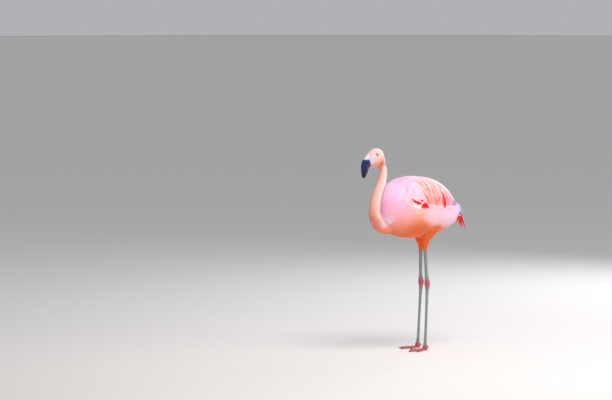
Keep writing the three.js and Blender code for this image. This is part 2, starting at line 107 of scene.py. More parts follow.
# ------------------------------------------------------------------ curves and colour
def along(rows, column, x):
    """A smooth curve through a table's column: cubic pieces, whose slope at a row is the slope
    between that row's neighbours."""
    x = np.asarray(x, float)
    at, value = rows[:, 0], rows[:, column]
    last = len(at) - 1
    i = np.clip(np.searchsorted(at, x, side="left") - 1, 0, last - 1)
    before, after = np.maximum(np.arange(last + 1) - 1, 0), np.minimum(np.arange(last + 1) + 1, last)
    slope = (value[after] - value[before]) / (at[after] - at[before])
    span = at[i + 1] - at[i]
    s = np.clip((x - at[i]) / span, 0, 1)
    rise = s * s * (3 - 2 * s)
    bend = s * (1 - s) * span
    return value[i] * (1 - rise) + value[i + 1] * rise + bend * ((1 - s) * slope[i] - s * slope[i + 1])


def smooth(low, high, x):
    """0 below low, 1 above high, and 3s^2 - 2s^3 between them."""
    s = np.clip((np.asarray(x, float) - low) / (high - low), 0, 1)
    return s * s * (3 - 2 * s)


def linear(code):
    """An sRGB hex value as linear red, green and blue: c/12.92 up to 0.04045, and above it
    ((c + 0.055)/1.055)^2.4."""
    c = np.array([int(code[i:i + 2], 16) for i in (0, 2, 4)]) / 255
    return np.where(c <= 0.04045, c / 12.92, ((c + 0.055) / 1.055) ** 2.4)


def ramp(x, *stops):
    """Colour along a number: each stop is (place, hex value), with straight lines between them."""
    at = [stop[0] for stop in stops]
    values = np.array([linear(stop[1]) for stop in stops])
    return np.stack([np.interp(x, at, values[:, i]) for i in range(3)], -1)


def blend(first, second, share):
    """first where share is 0 and second where it is 1."""
    share = np.asarray(share)[..., None]
    return first * (1 - share) + second * share


def unit(v):
    """Vectors divided by their lengths."""
    return v / np.maximum(np.linalg.norm(v, axis=-1, keepdims=True), 1e-12)


def place(forward, left, height):
    """Places on the bird, in metres: x is left, y is behind the middle, z is height."""
    forward, left, height = np.broadcast_arrays(forward, left, height)
    return np.stack([left, MIDDLE_FORWARD - forward, height], -1) / 1000


def waves(points, size, seed):
    """Soft uneven patches between -1 and 1: the mean of six sine waves of that length in metres,
    each with its own direction and phase."""
    own = np.random.default_rng(seed)
    ways = unit(own.normal(size=(6, 3))) * 2 * np.pi / size * own.uniform(0.6, 1.5, (6, 1))
    return np.sin(points @ ways.T + own.uniform(0, 2 * np.pi, 6)).mean(-1) * 1.6


# ------------------------------------------------------------------ the bird's surfaces
def forward_at(angle):
    """How far forward the trunk reaches at an angle from its front pole."""
    return TRUNK_CENTRE + TRUNK_HALF_LENGTH * np.cos(angle)


def angle_at(forward):
    """The angle from the front pole at a distance forward."""
    return np.arccos(np.clip((forward - TRUNK_CENTRE) / TRUNK_HALF_LENGTH, -1, 1))


def trunk_surface(angle, around, grow=0.0):
    """An ellipsoid whose three half sizes come from a table: forward goes as the cosine of the
    angle from the front pole, and each ring as its sine to a power just under 1."""
    forward = forward_at(angle)
    ring = np.abs(np.sin(angle)) ** TRUNK_FULLNESS
    rise = np.where(np.sin(around) > 0, along(TRUNK, 2, forward), along(TRUNK, 3, forward))
    return place(
        forward + grow * np.cos(angle),
        (along(TRUNK, 4, forward) + grow) * ring * np.cos(around),
        along(TRUNK, 1, forward) + (rise + grow) * ring * np.sin(around))


def wing_bulk(s, t):
    """Thickness of the folded wing over the trunk, in mm: 2 at its edges, more in the middle as the
    sine of each share to the power 0.6, and thinner towards the rear."""
    s, t = np.clip(s, 0, 1), np.clip(t, 0, 1)
    middle = np.sin(np.pi * s) ** 0.6 * np.abs(np.sin(np.pi * t)) ** 0.6
    return 2 + 11 * (1.15 - 0.7 * s) * middle


def wing_surface(s, t, grow=0.0):
    """The left wing's outside: s runs from its front to its rear and t from its lower edge up to
    the bird's back, at the wing's thickness over the trunk."""
    forward = WING_FRONT + (WING_REAR - WING_FRONT) * np.asarray(s, float)
    low = along(WING_EDGE, 1, forward)
    around = np.radians(low + (WING_TOP - low) * t)
    return trunk_surface(angle_at(forward), around, wing_bulk(s, t) + grow)


def wing_shares(forward, around):
    """The wing's two shares at a place round the trunk: from its front to its rear, and from its
    lower edge up to the bird's back."""
    turned = np.degrees(np.arctan2(np.sin(around), np.abs(np.cos(around))))
    low = along(WING_EDGE, 1, forward)
    return (WING_FRONT - forward) / (WING_FRONT - WING_REAR), (turned - low) / (WING_TOP - low)


def body_surface(angle, around, grow=0.0):
    """The trunk with both folded wings on it: the trunk's surface moved out by the wing's thickness
    wherever a wing lies."""
    s, t = wing_shares(forward_at(angle), around)
    under = smooth(-0.04, 0.03, s) * smooth(1.04, 0.97, s) * smooth(-0.05, 0.04, t) * smooth(1.08, 0.98, t)
    return trunk_surface(angle, around, wing_bulk(s, t) * under + grow)


def neck_surface(t, around, grow=0.0):
    """A round tube: a circle carried along the neck's middle line, square to it."""
    step = 0.01
    forward, height = along(NECK, 1, t), along(NECK, 2, t)
    ahead = along(NECK, 1, t + step) - along(NECK, 1, t - step)
    rising = along(NECK, 2, t + step) - along(NECK, 2, t - step)
    length = np.hypot(ahead, rising)
    radius = along(NECK, 3, t) + grow
    out = radius * np.sin(around)
    return place(forward - out * rising / length, radius * np.cos(around), height + out * ahead / length)


def head_surface(angle, around, grow=0.0):
    """Two half ellipsoids back to back on an axis that points forward and down."""
    reach = np.where(np.cos(angle) > 0, HEAD_FRONT, HEAD_BACK)
    out = (reach + grow) * np.cos(angle)
    rise = np.where(np.sin(around) > 0, HEAD_UP, HEAD_DOWN)
    over = (rise + grow) * np.sin(angle) * np.sin(around)
    return place(
        HEAD_CENTRE[0] + out * np.cos(HEAD_PITCH) + over * np.sin(HEAD_PITCH),
        (HEAD_HALF + grow) * np.sin(angle) * np.cos(around),
        HEAD_CENTRE[1] - out * np.sin(HEAD_PITCH) + over * np.cos(HEAD_PITCH))


def nape_surface(angle, around, grow=0.0):
    """An upright ellipsoid that fills the hollow between the back of the head and the neck."""
    return place(
        NAPE_CENTRE[0] + (NAPE_HALF + grow) * np.sin(angle) * np.sin(around),
        (NAPE_HALF + grow) * np.sin(angle) * np.cos(around),
        NAPE_CENTRE[1] + (NAPE_RISE + grow) * np.cos(angle))


def thigh_surface(height, around, side, grow=0.0):
    """An elliptic tube up the feathered thigh, narrowing to the bare shin."""
    return place(
        along(THIGH, 1, height) + side * STRIDE + (along(THIGH, 3, height) + grow) * np.sin(around),
        side * (along(THIGH, 2, height) + (along(THIGH, 4, height) + grow) * np.cos(around)), height)


def thigh_of(side):
    """The surface of one side's thigh."""
    return lambda height, around, grow=0.0: thigh_surface(height, around, side, grow)


def stride_at(side, height):
    """How far a leg is moved forward at a height: by the stride at the thigh's end and by twice as
    much on the floor, and rearwards on the right."""
    return side * STRIDE * (1 + (THIGH_END - height) / THIGH_END)


def leg_surface(height, around, side, grow=0.0):
    """An elliptic tube along the bare leg, moved forward or back by the stride."""
    apart = stride_at(side, height)
    return place(
        along(LEG, 1, height) + apart + (along(LEG, 3, height) + grow) * np.sin(around),
        side * (along(LEG, 2, height) + (along(LEG, 4, height) + grow) * np.cos(around)), height)


def tail_surface(angle, around, grow=0.0):
    """The soft cone of coverts at the tail's root: an ellipsoid along the bird, blunter behind."""
    return place(
        TAIL_CENTRE[0] + (np.where(np.cos(angle) < 0, TAIL_BACK, TAIL_FRONT) + grow) * np.cos(angle),
        (TAIL_HALF + grow) * np.sin(angle) * np.cos(around),
        TAIL_CENTRE[1] + (TAIL_RISE + grow) * np.sin(angle) * np.sin(around))


def foot_middle(side):
    """Where the shank meets the foot: forward and left."""
    return LEG[0, 1] + stride_at(side, LEG[0, 0]), LEG[0, 2]


def toe_place(side, turn, out, aside, height):
    """A place near the floor, from its distance along a toe and to the toe's outer side."""
    turn = np.radians(turn)
    forward, left = foot_middle(side)
    return place(
        forward + out * np.cos(turn) - aside * np.sin(turn),
        side * (left + out * np.sin(turn) + aside * np.cos(turn)), height)


def outward_of(surface, a, b, step=0.01):
    """The unit way out of a surface, square to both ways along it, on the side to which it grows."""
    square = unit(np.cross(surface(a + step, b, 0.0) - surface(a - step, b, 0.0),
                           surface(a, b + step, 0.0) - surface(a, b - step, 0.0)))
    grown = surface(a, b, 1.0) - surface(a, b, 0.0)
    return square * np.where(np.einsum("...i,...i->...", square, grown) < 0, -1, 1)[..., None]


def onward_of(surface, a, b, step):
    """The unit way along a surface as its first number grows."""
    return unit(surface(a + step, b, 0.0) - surface(a - step, b, 0.0))


# ------------------------------------------------------------------ shapes as whole arrays
def tube_faces(rings, steps):
    """Quads between neighbouring closed rings, and a fan to one corner beyond each end."""
    i, j = np.meshgrid(np.arange(rings - 1), np.arange(steps), indexing="ij")
    k = (j + 1) % steps
    quads = np.stack([i * steps + j, i * steps + k, (i + 1) * steps + k, (i + 1) * steps + j], -1)
    j = np.arange(steps)
    k = (j + 1) % steps
    first, last = rings * steps, rings * steps + 1
    fans = np.concatenate([
        np.stack([k, j, np.full(steps, first)], -1),
        np.stack([(rings - 1) * steps + j, (rings - 1) * steps + k, np.full(steps, last)], -1)])
    return quads.reshape(-1, 4), fans


def shape(corners, quads, fans, **marks):
    """Corners and faces with their marks, turned outwards: where the volume under the faces comes
    out negative, every face is reversed."""
    three = np.concatenate([quads[:, [0, 1, 2]], quads[:, [0, 2, 3]], fans]) if len(quads) else fans
    a, b, c = (corners[three[:, i]] - corners.mean(0) for i in range(3))
    if np.einsum("ij,ij->", a, np.cross(b, c)) < 0:
        quads, fans = quads[:, ::-1], fans[:, ::-1]
    return {"corners": corners, "quads": quads, "fans": fans, **marks}


def tube(rings, first, last, **marks):
    """A closed tube from an array of rings, with a corner beyond each end."""
    quads, fans = tube_faces(*rings.shape[:2])
    corners = np.concatenate([rings.reshape(-1, 3), [first, last]])
    return shape(corners, quads, fans, **marks)


def rod(rings):
    """A closed tube whose end corners are the middles of its end rings."""
    return tube(rings, rings[0].mean(0), rings[-1].mean(0))


def round_grid(values, steps):
    """A grid of values along a piece against even steps once round it."""
    return np.meshgrid(values, np.linspace(0, 2 * np.pi, steps, False), indexing="ij")


def ball(surface, rings, steps, grow=0.0):
    """A surface closed at its two poles, sampled in even angles."""
    angle, around = round_grid(np.linspace(0, np.pi, rings + 2)[1:-1], steps)
    ends = surface(np.array([1e-4, np.pi - 1e-4]), np.zeros(2), grow)
    return tube(surface(angle, around, grow), *ends)


def together(*shapes):
    """Several shapes as one, with their corners counted on."""
    count = np.cumsum([0] + [len(s["corners"]) for s in shapes])
    marks = [key for key in shapes[0] if key not in ("quads", "fans")]
    whole = {key: np.concatenate([s[key] for s in shapes]) for key in marks}
    for key in ("quads", "fans"):
        whole[key] = np.concatenate([s[key] + n for s, n in zip(shapes, count)])
    return whole


def mesh_from(name, made):
    """A Blender mesh from whole arrays: corners, then quads and triangles, smooth shaded."""
    corners, quads, fans = made["corners"], made["quads"], made["fans"]
    mesh = bpy.data.meshes.new(name)
    mesh.vertices.add(len(corners))
    mesh.vertices.foreach_set("co", np.ascontiguousarray(corners, np.float32).ravel())
    loops = np.concatenate([quads.ravel(), fans.ravel()]).astype(np.int32)
    mesh.loops.add(len(loops))
    mesh.loops.foreach_set("vertex_index", loops)
    starts = np.concatenate([np.arange(len(quads)) * 4, len(quads) * 4 + np.arange(len(fans)) * 3])
    mesh.polygons.add(len(starts))
    mesh.polygons.foreach_set("loop_start", starts.astype(np.int32))
    mesh.polygons.foreach_set("use_smooth", np.ones(len(starts), bool))
    mesh.update(calc_edges=True)
    return mesh


def marked(mesh, tint=None, vane=None, bake=None):
    """Puts a colour, a place on the vane in mm, and the bake map on a mesh, by corner."""
    if tint is not None:
        colour = mesh.color_attributes.new("Tint", "FLOAT_COLOR", "POINT")
        rgba = np.concatenate([np.clip(tint, 0, 1), np.ones((len(tint), 1))], -1)
        colour.data.foreach_set("color", rgba.astype(np.float32).ravel())
    if vane is not None:
        spot = mesh.attributes.new("Vane", "FLOAT2", "POINT")
        spot.data.foreach_set("vector", np.ascontiguousarray(vane, np.float32).ravel())
    if bake is not None:
        loops = np.zeros(len(mesh.loops), np.int32)
        mesh.loops.foreach_get("vertex_index", loops)
        flat = mesh.uv_layers.new(name="OFBake")
        flat.data.foreach_set("uv", np.ascontiguousarray(bake[loops], np.float32).ravel())
    return mesh


def piece(name, mesh, materials, replaced=()):
    """A finished piece of the bird: its object at the origin, riding on the root."""
    made = bpy.data.objects.new(name, mesh)
    SCENE.collection.objects.link(made)
    for material in materials:
        mesh.materials.append(material)
    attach(made, "root")
    if replaced:
        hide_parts(*replaced)
    return made


# ------------------------------------------------------------------ materials
def node(tree, kind, settings=None, **links):
    """Adds one node. settings go to its properties, or to its sockets by name or number; links give
    a socket's name, or i and its number, and what feeds it."""
    made = tree.nodes.new("ShaderNode" + kind)
    for key, value in (settings or {}).items():
        if isinstance(key, int) or (key in made.inputs and not hasattr(type(made), key)):
            made.inputs[key].default_value = value
        else:
            setattr(made, key, value)
    for key, source in links.items():
        by_number = key[0] == "i" and key[1:].isdigit()
        socket = made.inputs[int(key[1:]) if by_number else key.replace("_", " ")]
        tree.links.new(source, socket)
    return made


def spans(low, high, first, last):
    """Settings that turn low to high into first to last."""
    return {"From Min": low, "From Max": high, "To Min": first, "To Max": last}


def fresh_material(name):
    """An empty node material with its output, and the tree to fill."""
    material = bpy.data.materials.new(name)
    material.use_nodes = True
    material.node_tree.nodes.clear()
    return material, material.node_tree


def colour_of(code):
    """A hex value as the four numbers of a colour socket."""
    return (*linear(code), 1.0)


def finish_of(tree, settings, colour=None, roughness=None, normal=None):
    """The shader and the output. Numbers that are the same all over sit on the shader's sockets."""
    links = {"Base_Color": colour, "Roughness": roughness, "Normal": normal}
    shader = node(tree, "BsdfPrincipled", settings, **{k: v for k, v in links.items() if v is not None})
    node(tree, "OutputMaterial", None, Surface=shader.outputs[0])


def feather_keratin(name, barb_mm, relief_mm, roughness, sheen, streak):
    """Feather vanes: fine barbs that leave the shaft at 45 degrees, so the surface is softly
    matt with a faint satin across the barbs. Real barbs lie about 0.3 mm apart; they are drawn
    coarser, at barb_mm, so that they show."""
    material, tree = fresh_material(name)
    tint = node(tree, "Attribute", {"attribute_name": "Tint"})
    vane = node(tree, "Attribute", {"attribute_name": "Vane"})
    split = node(tree, "SeparateXYZ", None, Vector=vane.outputs["Vector"])
    across = node(tree, "Math", {"operation": "ABSOLUTE"}, i0=split.outputs["X"])
    slanted = node(tree, "Math", {"operation": "SUBTRACT"}, i0=split.outputs["Y"], i1=across.outputs[0])
    phase = node(tree, "CombineXYZ", None, X=slanted.outputs[0], Y=split.outputs["X"])
    stretch = node(tree, "VectorMath", {"operation": "MULTIPLY", 1: (1.0, 0.12, 1.0)}, i0=phase.outputs[0])
    barbs = node(tree, "TexNoise", {"Scale": 1 / barb_mm, "Detail": 2.0, "Roughness": 0.6},
                 Vector=stretch.outputs[0])
    shaft = node(tree, "MapRange", spans(0.12, 0.5, 1.0, 0.0), Value=across.outputs[0])
    shade = node(tree, "MapRange", spans(0.25, 0.75, 1 - streak, 1 + streak), Value=barbs.outputs["Fac"])
    barred = node(tree, "VectorMath", {"operation": "SCALE"},
                  i0=tint.outputs["Color"], Scale=shade.outputs[0])
    lighter = node(tree, "VectorMath", {"operation": "SCALE", "Scale": 1.12}, i0=tint.outputs["Color"])
    half = node(tree, "Math", {"operation": "MULTIPLY", 1: 0.6}, i0=shaft.outputs[0])
    pale = node(tree, "Mix", {"data_type": "RGBA"},
                i0=half.outputs[0], i6=barred.outputs[0], i7=lighter.outputs[0])
    height = node(tree, "Math", {"operation": "ADD"}, i0=barbs.outputs["Fac"], i1=shaft.outputs[0])
    bump = node(tree, "Bump", {"Strength": 0.7, "Distance": relief_mm / 1000}, Height=height.outputs[0])
    finish_of(tree, {
        "Roughness": roughness, "IOR": 1.54, "Sheen Weight": sheen, "Sheen Roughness": 0.45,
        "Specular IOR Level": 0.24}, colour=pale.outputs[2], normal=bump.outputs[0])
    return material


def downy_skin(name):
    """Thin bird skin under and between the feathers: soft, finely pitted where each quill leaves it,
    a little translucent, so it is given a low sheen and a broken colour."""
    material, tree = fresh_material(name)
    tint = node(tree, "Attribute", {"attribute_name": "Tint"})
    where = node(tree, "TexCoord")
    pits = node(tree, "TexVoronoi", {"Scale": 1 / 0.0016, "feature": "F1"}, Vector=where.outputs["Object"])
    blotch = node(tree, "TexNoise", {"Scale": 1 / 0.007, "Detail": 4.0, "Distortion": 0.8},
                  Vector=where.outputs["Object"])
    shade = node(tree, "MapRange", spans(0.3, 0.7, 0.9, 1.04), Value=blotch.outputs["Fac"])
    mottled = node(tree, "VectorMath", {"operation": "SCALE"},
                   i0=tint.outputs["Color"], Scale=shade.outputs[0])
    folds = node(tree, "Bump", {"Strength": 0.6, "Distance": 0.0006}, Height=blotch.outputs["Fac"])
    bump = node(tree, "Bump", {"Strength": 0.6, "Distance": 0.0003},
                Height=pits.outputs["Distance"], Normal=folds.outputs[0])
    finish_of(tree, {"Roughness": 0.58, "IOR": 1.4, "Sheen Weight": 0.15, "Sheen Roughness": 0.5},
              colour=mottled.outputs[0], normal=bump.outputs[0])
    return material


def leg_scales(name):
    """Horny scales on legs and feet: small close plates with dull grooves between them, smooth and
    slightly waxy on top."""
    material, tree = fresh_material(name)
    tint = node(tree, "Attribute", {"attribute_name": "Tint"})
    where = node(tree, "TexCoord")
    narrow = node(tree, "VectorMath", {"operation": "MULTIPLY", 1: (1.0, 1.0, 0.75)},
                  i0=where.outputs["Object"])
    plates = node(tree, "TexVoronoi", {"Scale": 1 / 0.0019, "feature": "DISTANCE_TO_EDGE"},
                  Vector=narrow.outputs[0])
    groove = node(tree, "MapRange", spans(0.0, 0.16, 0.0, 1.0), Value=plates.outputs["Distance"])
    stain = node(tree, "TexNoise", {"Scale": 1 / 0.009, "Detail": 5.0}, Vector=where.outputs["Object"])
    dirt = node(tree, "MapRange", spans(0.3, 0.7, 0.82, 1.1), Value=stain.outputs["Fac"])
    dark = node(tree, "MapRange", spans(0.0, 1.0, 0.72, 1.0), Value=groove.outputs[0])
    shade = node(tree, "Math", {"operation": "MULTIPLY"}, i0=dirt.outputs[0], i1=dark.outputs[0])
    toned = node(tree, "VectorMath", {"operation": "SCALE"}, i0=tint.outputs["Color"], Scale=shade.outputs[0])
    rough = node(tree, "MapRange", spans(0.0, 1.0, 0.7, 0.42), Value=groove.outputs[0])
    bump = node(tree, "Bump", {"Strength": 0.6, "Distance": 0.00025}, Height=groove.outputs[0])
    finish_of(tree, {"IOR": 1.5}, colour=toned.outputs[0], roughness=rough.outputs[0], normal=bump.outputs[0])
    return material


def bill_keratin(name):
    """The bill's horny sheath: hard keratin, polished by use, with faint growth lines across it and
    fine scratches along it that break the gloss."""
    material, tree = fresh_material(name)
    tint = node(tree, "Attribute", {"attribute_name": "Tint"})
    where = node(tree, "TexCoord")
    lines = node(tree, "TexNoise", {"Scale": 1 / 0.0022, "Detail": 3.0}, Vector=where.outputs["Object"])
    fine = node(tree, "TexNoise", {"Scale": 1 / 0.0006, "Detail": 2.0}, Vector=where.outputs["Object"])
    shade = node(tree, "MapRange", spans(0.3, 0.7, 0.88, 1.1), Value=lines.outputs["Fac"])
    toned = node(tree, "VectorMath", {"operation": "SCALE"}, i0=tint.outputs["Color"], Scale=shade.outputs[0])
    rough = node(tree, "MapRange", spans(0.3, 0.7, 0.26, 0.42), Value=fine.outputs["Fac"])
    bump = node(tree, "Bump", {"Strength": 0.35, "Distance": 0.0002}, Height=lines.outputs["Fac"])
    finish_of(tree, {"IOR": 1.54, "Specular IOR Level": 0.35, "Coat Weight": 0.1, "Coat Roughness": 0.25},
              colour=toned.outputs[0], roughness=rough.outputs[0], normal=bump.outputs[0])
    return material


def wet_eye(name):
    """A living eye: the clear wet cornea mirrors the light sharply over a fibrous iris and a black
    pupil, so the colour lies under a smooth coat."""
    material, tree = fresh_material(name)
    tint = node(tree, "Attribute", {"attribute_name": "Tint"})
    vane = node(tree, "Attribute", {"attribute_name": "Vane"})
    fibres = node(tree, "TexNoise", {"Scale": 9.0, "Detail": 3.0}, Vector=vane.outputs["Vector"])
    shade = node(tree, "MapRange", spans(0.3, 0.7, 0.75, 1.15), Value=fibres.outputs["Fac"])
    toned = node(tree, "VectorMath", {"operation": "SCALE"}, i0=tint.outputs["Color"], Scale=shade.outputs[0])
    finish_of(tree, {
        "Roughness": 0.25, "IOR": 1.376, "Coat Weight": 1.0, "Coat Roughness": 0.03,
        "Coat IOR": 1.376}, colour=toned.outputs[0])
    return material


def studio_paper(name):
    """A roll of pale matt paper under the bird: no gloss, with the slight unevenness of its pulp."""
    material, tree = fresh_material(name)
    where = node(tree, "TexCoord")
    pulp = node(tree, "TexNoise", {"Scale": 1 / 0.05, "Detail": 3.0}, Vector=where.outputs["Object"])
    tone = node(tree, "Mix", {"data_type": "RGBA", 6: colour_of("e6e4e1"), 7: colour_of("ebe9e6")},
                i0=pulp.outputs["Fac"])
    finish_of(tree, {"Roughness": 0.85, "IOR": 1.45}, colour=tone.outputs[2])
    return material


CONTOUR = feather_keratin("contour_feather_keratin", 0.45, 0.10, 0.62, 0.15, 0.07)
NECK_PLUSH = feather_keratin("neck_feather_keratin", 0.35, 0.07, 0.66, 0.18, 0.06)
FLIGHT = feather_keratin("flight_feather_keratin", 0.7, 0.16, 0.52, 0.04, 0.11)
SKIN = downy_skin("bird_skin")
SCALES = leg_scales("leg_scale_keratin")
HORN = bill_keratin("bill_keratin")
EYE = wet_eye("wet_eye")

# ------------------------------------------------------------------ markings
# One set of formulas colours the skin and the coat, from where a point lies on the bird.


def millimetres(points):
    """Forward, left and height of points in metres."""
    return MIDDLE_FORWARD - points[..., 1] * 1000, points[..., 0] * 1000, points[..., 2] * 1000


# The bend of the wing, forward and height, round which pale arcs run over the shoulder, and how far
# apart they are.
WHORL, ARC_GAP = (84.0, 548.0), 21.0
# A pale patch in front of the bend, and a painted highlight on the breast beside the neck's root:
# forward, height and both half sizes.
BEND_PATCH, NECK_ROOT_HIGHLIGHT = (112.0, 551.0, 22.0, 10.0), (216.0, 498.0, 27.0, 27.0)


def patch_reach(forward, height, patch):
    """How far a place is from a patch's middle, as a share of the patch's half sizes."""
    return np.hypot((forward - patch[0]) / patch[2], (height - patch[1]) / patch[3])


def body_colour(points):
    """Trunk and thighs: three ramps by height, for the breast, the side and the rear, mixed by how
    far forward the point is. Their low stops are deep salmon orange, partly the belly's own colour
    and partly painted shade under the belly. Over them go soft patches, pale arcs round the bend of
    the wing, a pale patch in front of it, and a painted highlight on the breast beside the neck's
    root."""
    forward, _, height = millimetres(points)
    height = height + 9 * waves(points, 0.09, 5)
    # The low stops of the side and breast ramps are deep orange: partly the belly's own salmon and partly
    # painted shade under the belly.
    side = ramp(height, (395, "f46a20"), (425, "ee6a28"), (450, "e0642a"), (476, "ec784a"),
                (504, "f89e84"), (536, "fcbaac"), (575, "fcc2c8"), (615, "f6bcda"), (640, "eaa6d2"))
    breast = ramp(height, (395, "c24c1a"), (430, "ce5824"), (460, "f48c6a"), (490, "f8a4a0"),
                  (525, "f9b2c8"), (575, "f9bfde"), (640, "f6c2e6"))
    rear = blend(ramp(height, (440, "ea9c86"), (470, "eeb0ac"), (500, "f2c2ca"), (560, "f7c8d4")),
                 ramp(height, (425, "dc8058"), (448, "e3a39a"), (470, "ebc0d0"), (500, "eccce2"),
                      (640, "ecc0da")),
                 smooth(60, -70, forward))
    mixed = blend(side, breast, smooth(95, 190, forward))
    border = np.interp(forward, [-120, -60, 0, 60, 110], [430, 444, 462, 482, 500])
    mixed = blend(mixed, rear, smooth(-14, 14, height - border) * smooth(125, 45, forward))
    whorl = np.hypot(forward - WHORL[0], height - WHORL[1])
    arcs = smooth(0.2, 0.9, np.sin(2 * np.pi * whorl / ARC_GAP + 0.7 * waves(points, 0.08, 31)))
    arcs = 0.25 * arcs * smooth(34, 48, whorl) * smooth(128, 84, whorl) * smooth(545, 572, height)
    mixed = blend(mixed, linear("fff2f8"), arcs)
    bend = patch_reach(forward, height, BEND_PATCH)
    mixed = blend(mixed, linear("fff0f0"), 0.8 * smooth(1.15, 0.6, bend))
    # Painted highlight: a pale spot on the breast beside the neck's root, where light falls on its bulge.
    painted_highlight = patch_reach(forward, height, NECK_ROOT_HIGHLIGHT)
    mixed = blend(mixed, linear("ffe0f2"), 0.85 * smooth(1.2, 0.2, painted_highlight))
    mixed = blend(mixed, linear("ccc0ea"), smooth(-105, -160, forward) * smooth(470, 490, height) * 0.9)
    patch = waves(points, 0.035, 9)[..., None]
    return np.clip(mixed * (1 + 0.05 * patch * np.array([0.2, 1.0, 0.8])), 0, 1)


def neck_colour(points):
    """Neck: a ramp along its height, deeper on its front side, which is the underside of its lower bend.
    Its low end is deep orange, partly its own salmon and partly painted shade, and the front side is
    darkest under the bend and darker again under the head, as painted shade.
    """
    forward, _, height = millimetres(points)
    back = ramp(height, (440, "d4622e"), (470, "e68a64"), (510, "facabe"), (560, "fde0dc"),
                (620, "ffe8ea"), (680, "fdd8d2"), (720, "fad4d0"))
    # The front side's ramp: the neck's salmon with painted shade, darkest under the lower bend and darker
    # again under the head.
    under = ramp(height, (440, "982a04"), (472, "b84412"), (505, "e47c4a"), (545, "faa68c"),
                 (620, "feb6a4"), (680, "f49c7c"), (712, "dc7448"))
    share = smooth(-4, 14, forward - np.interp(height, NECK[2:, 2], NECK[2:, 1]))
    return np.clip(blend(back, under, share * 0.7) * (1 + 0.04 * waves(points, 0.03, 3)[..., None]), 0, 1)


def head_place(forward, height):
    """A place as measured on the tilted head: along it towards the bill, and over it."""
    ahead, above = forward - HEAD_CENTRE[0], height - HEAD_CENTRE[1]
    return (ahead * np.cos(HEAD_PITCH) - above * np.sin(HEAD_PITCH),
            ahead * np.sin(HEAD_PITCH) + above * np.cos(HEAD_PITCH))


def head_colour(points):
    """Head: pale crown and warmer cheek; the throat below is deep salmon, partly its own colour and
    partly painted shade under the head.
    """
    forward, _, height = millimetres(points)
    along_head, over_head = head_place(forward, height)
    # Below the head's middle the ramp deepens: the throat's salmon with painted shade under the head.
    crown = ramp(over_head, (-36, "c85420"), (-24, "e07a4c"), (-12, "f6b096"), (0, "f8c4b6"),
                 (14, "f0c4bc"), (30, "ecc2be"))
    return np.clip(blend(crown, linear("fcdcde"), smooth(-8, -28, along_head) * 0.9), 0, 1)


def bare_face(points):
    """Share of the bare pale skin: 1 between the bill's base and the eye, bounded above by a line
    from over the nostril to the eye and below by the gape and the chin."""
    forward, _, height = millimetres(points)
    along_head, over_head = head_place(forward, height)
    rear = np.maximum(8, 19.8 - 0.5 * over_head) + 11 * smooth(-10, -16, over_head)
    top = 24 - 0.12 * along_head
    return smooth(-2.5, 2.5, along_head - rear) * smooth(2, -2, over_head - top)


def bird_colour(points):
    """The skin's colour anywhere: body, neck and head, mixed over short stretches where they meet,
    and the bare face."""
    forward, left, height = millimetres(points)
    lane, radius = (np.interp(height, NECK[2:, 2], NECK[2:, column]) for column in (1, 3))
    on_neck = smooth(3, 0, np.hypot(forward - lane, left) - radius) * smooth(446, 520, height)
    on_neck = np.maximum(on_neck, smooth(650, 670, height))
    mixed = blend(body_colour(points), neck_colour(points), on_neck)
    mixed = blend(mixed, head_colour(points), smooth(685, 705, height))
    return blend(mixed, linear("dccade"), bare_face(points) * smooth(680, 690, height))


def leg_colour(points):
    """Bare legs: grey-green shanks, pink-red ankles and feet, and a warm flush by the feathers."""
    height = points[..., 2] * 1000
    grey, pink = linear("8f9a94"), linear("c25a62")
    share = np.exp(-((height - 246) / 17) ** 2) + smooth(34, 12, height) + 0.35 * smooth(345, 372, height)
    return blend(grey, pink, np.clip(share, 0, 1))


# ------------------------------------------------------------------ the skin
def welded(source, voxel_mm, rounds):
    """One closed surface round several that overlap: a voxel remesh, then a few rounds of smoothing.
    Returns its corners, quads and triangles."""
    mould = bpy.data.objects.new("mould", mesh_from("mould", source))
    SCENE.collection.objects.link(mould)
    weld = mould.modifiers.new("weld", "REMESH")
    weld.mode, weld.voxel_size = "VOXEL", voxel_mm / 1000
    ease = mould.modifiers.new("ease", "SMOOTH")
    ease.factor, ease.iterations = 0.5, rounds
    made = bpy.data.meshes.new_from_object(mould.evaluated_get(bpy.context.evaluated_depsgraph_get()))
    corners = np.zeros(len(made.vertices) * 3)
    made.vertices.foreach_get("co", corners)
    loops, total = np.zeros(len(made.loops), np.int32), np.zeros(len(made.polygons), np.int32)
    start = np.zeros(len(made.polygons), np.int32)
    made.loops.foreach_get("vertex_index", loops)
    made.polygons.foreach_get("loop_total", total)
    made.polygons.foreach_get("loop_start", start)
    quads = loops[start[total == 4][:, None] + np.arange(4)]
    fans = loops[start[total == 3][:, None] + np.arange(3)]
    bpy.data.meshes.remove(made)
    bpy.data.objects.remove(mould)
    return shape(corners.reshape(-1, 3), quads, fans)


def body_flesh():
    """Trunk, wings, neck, head, thighs and tail cone, each inside its solid by the coat's depth,
    welded into one."""
    trunk = ball(body_surface, 110, 112, -TRUNK_COAT)
    t, around = round_grid(np.linspace(0, 8, 150), 40)
    neck = tube(neck_surface(t, around, -NECK_COAT), place(146, 0, 478), place(214, 0, 712))
    head = ball(head_surface, 60, 56, -HEAD_COAT)
    nape = ball(nape_surface, 30, 30)
    tail = ball(tail_surface, 30, 36, -TAIL_COAT)
    height, turn = round_grid(np.linspace(378, 466, 40), 32)
    thighs = [rod(thigh_surface(height, turn, side, -THIGH_COAT)) for side, _ in SIDES]
    return welded(together(trunk, neck, head, nape, tail, *thighs), 2.7, 8)


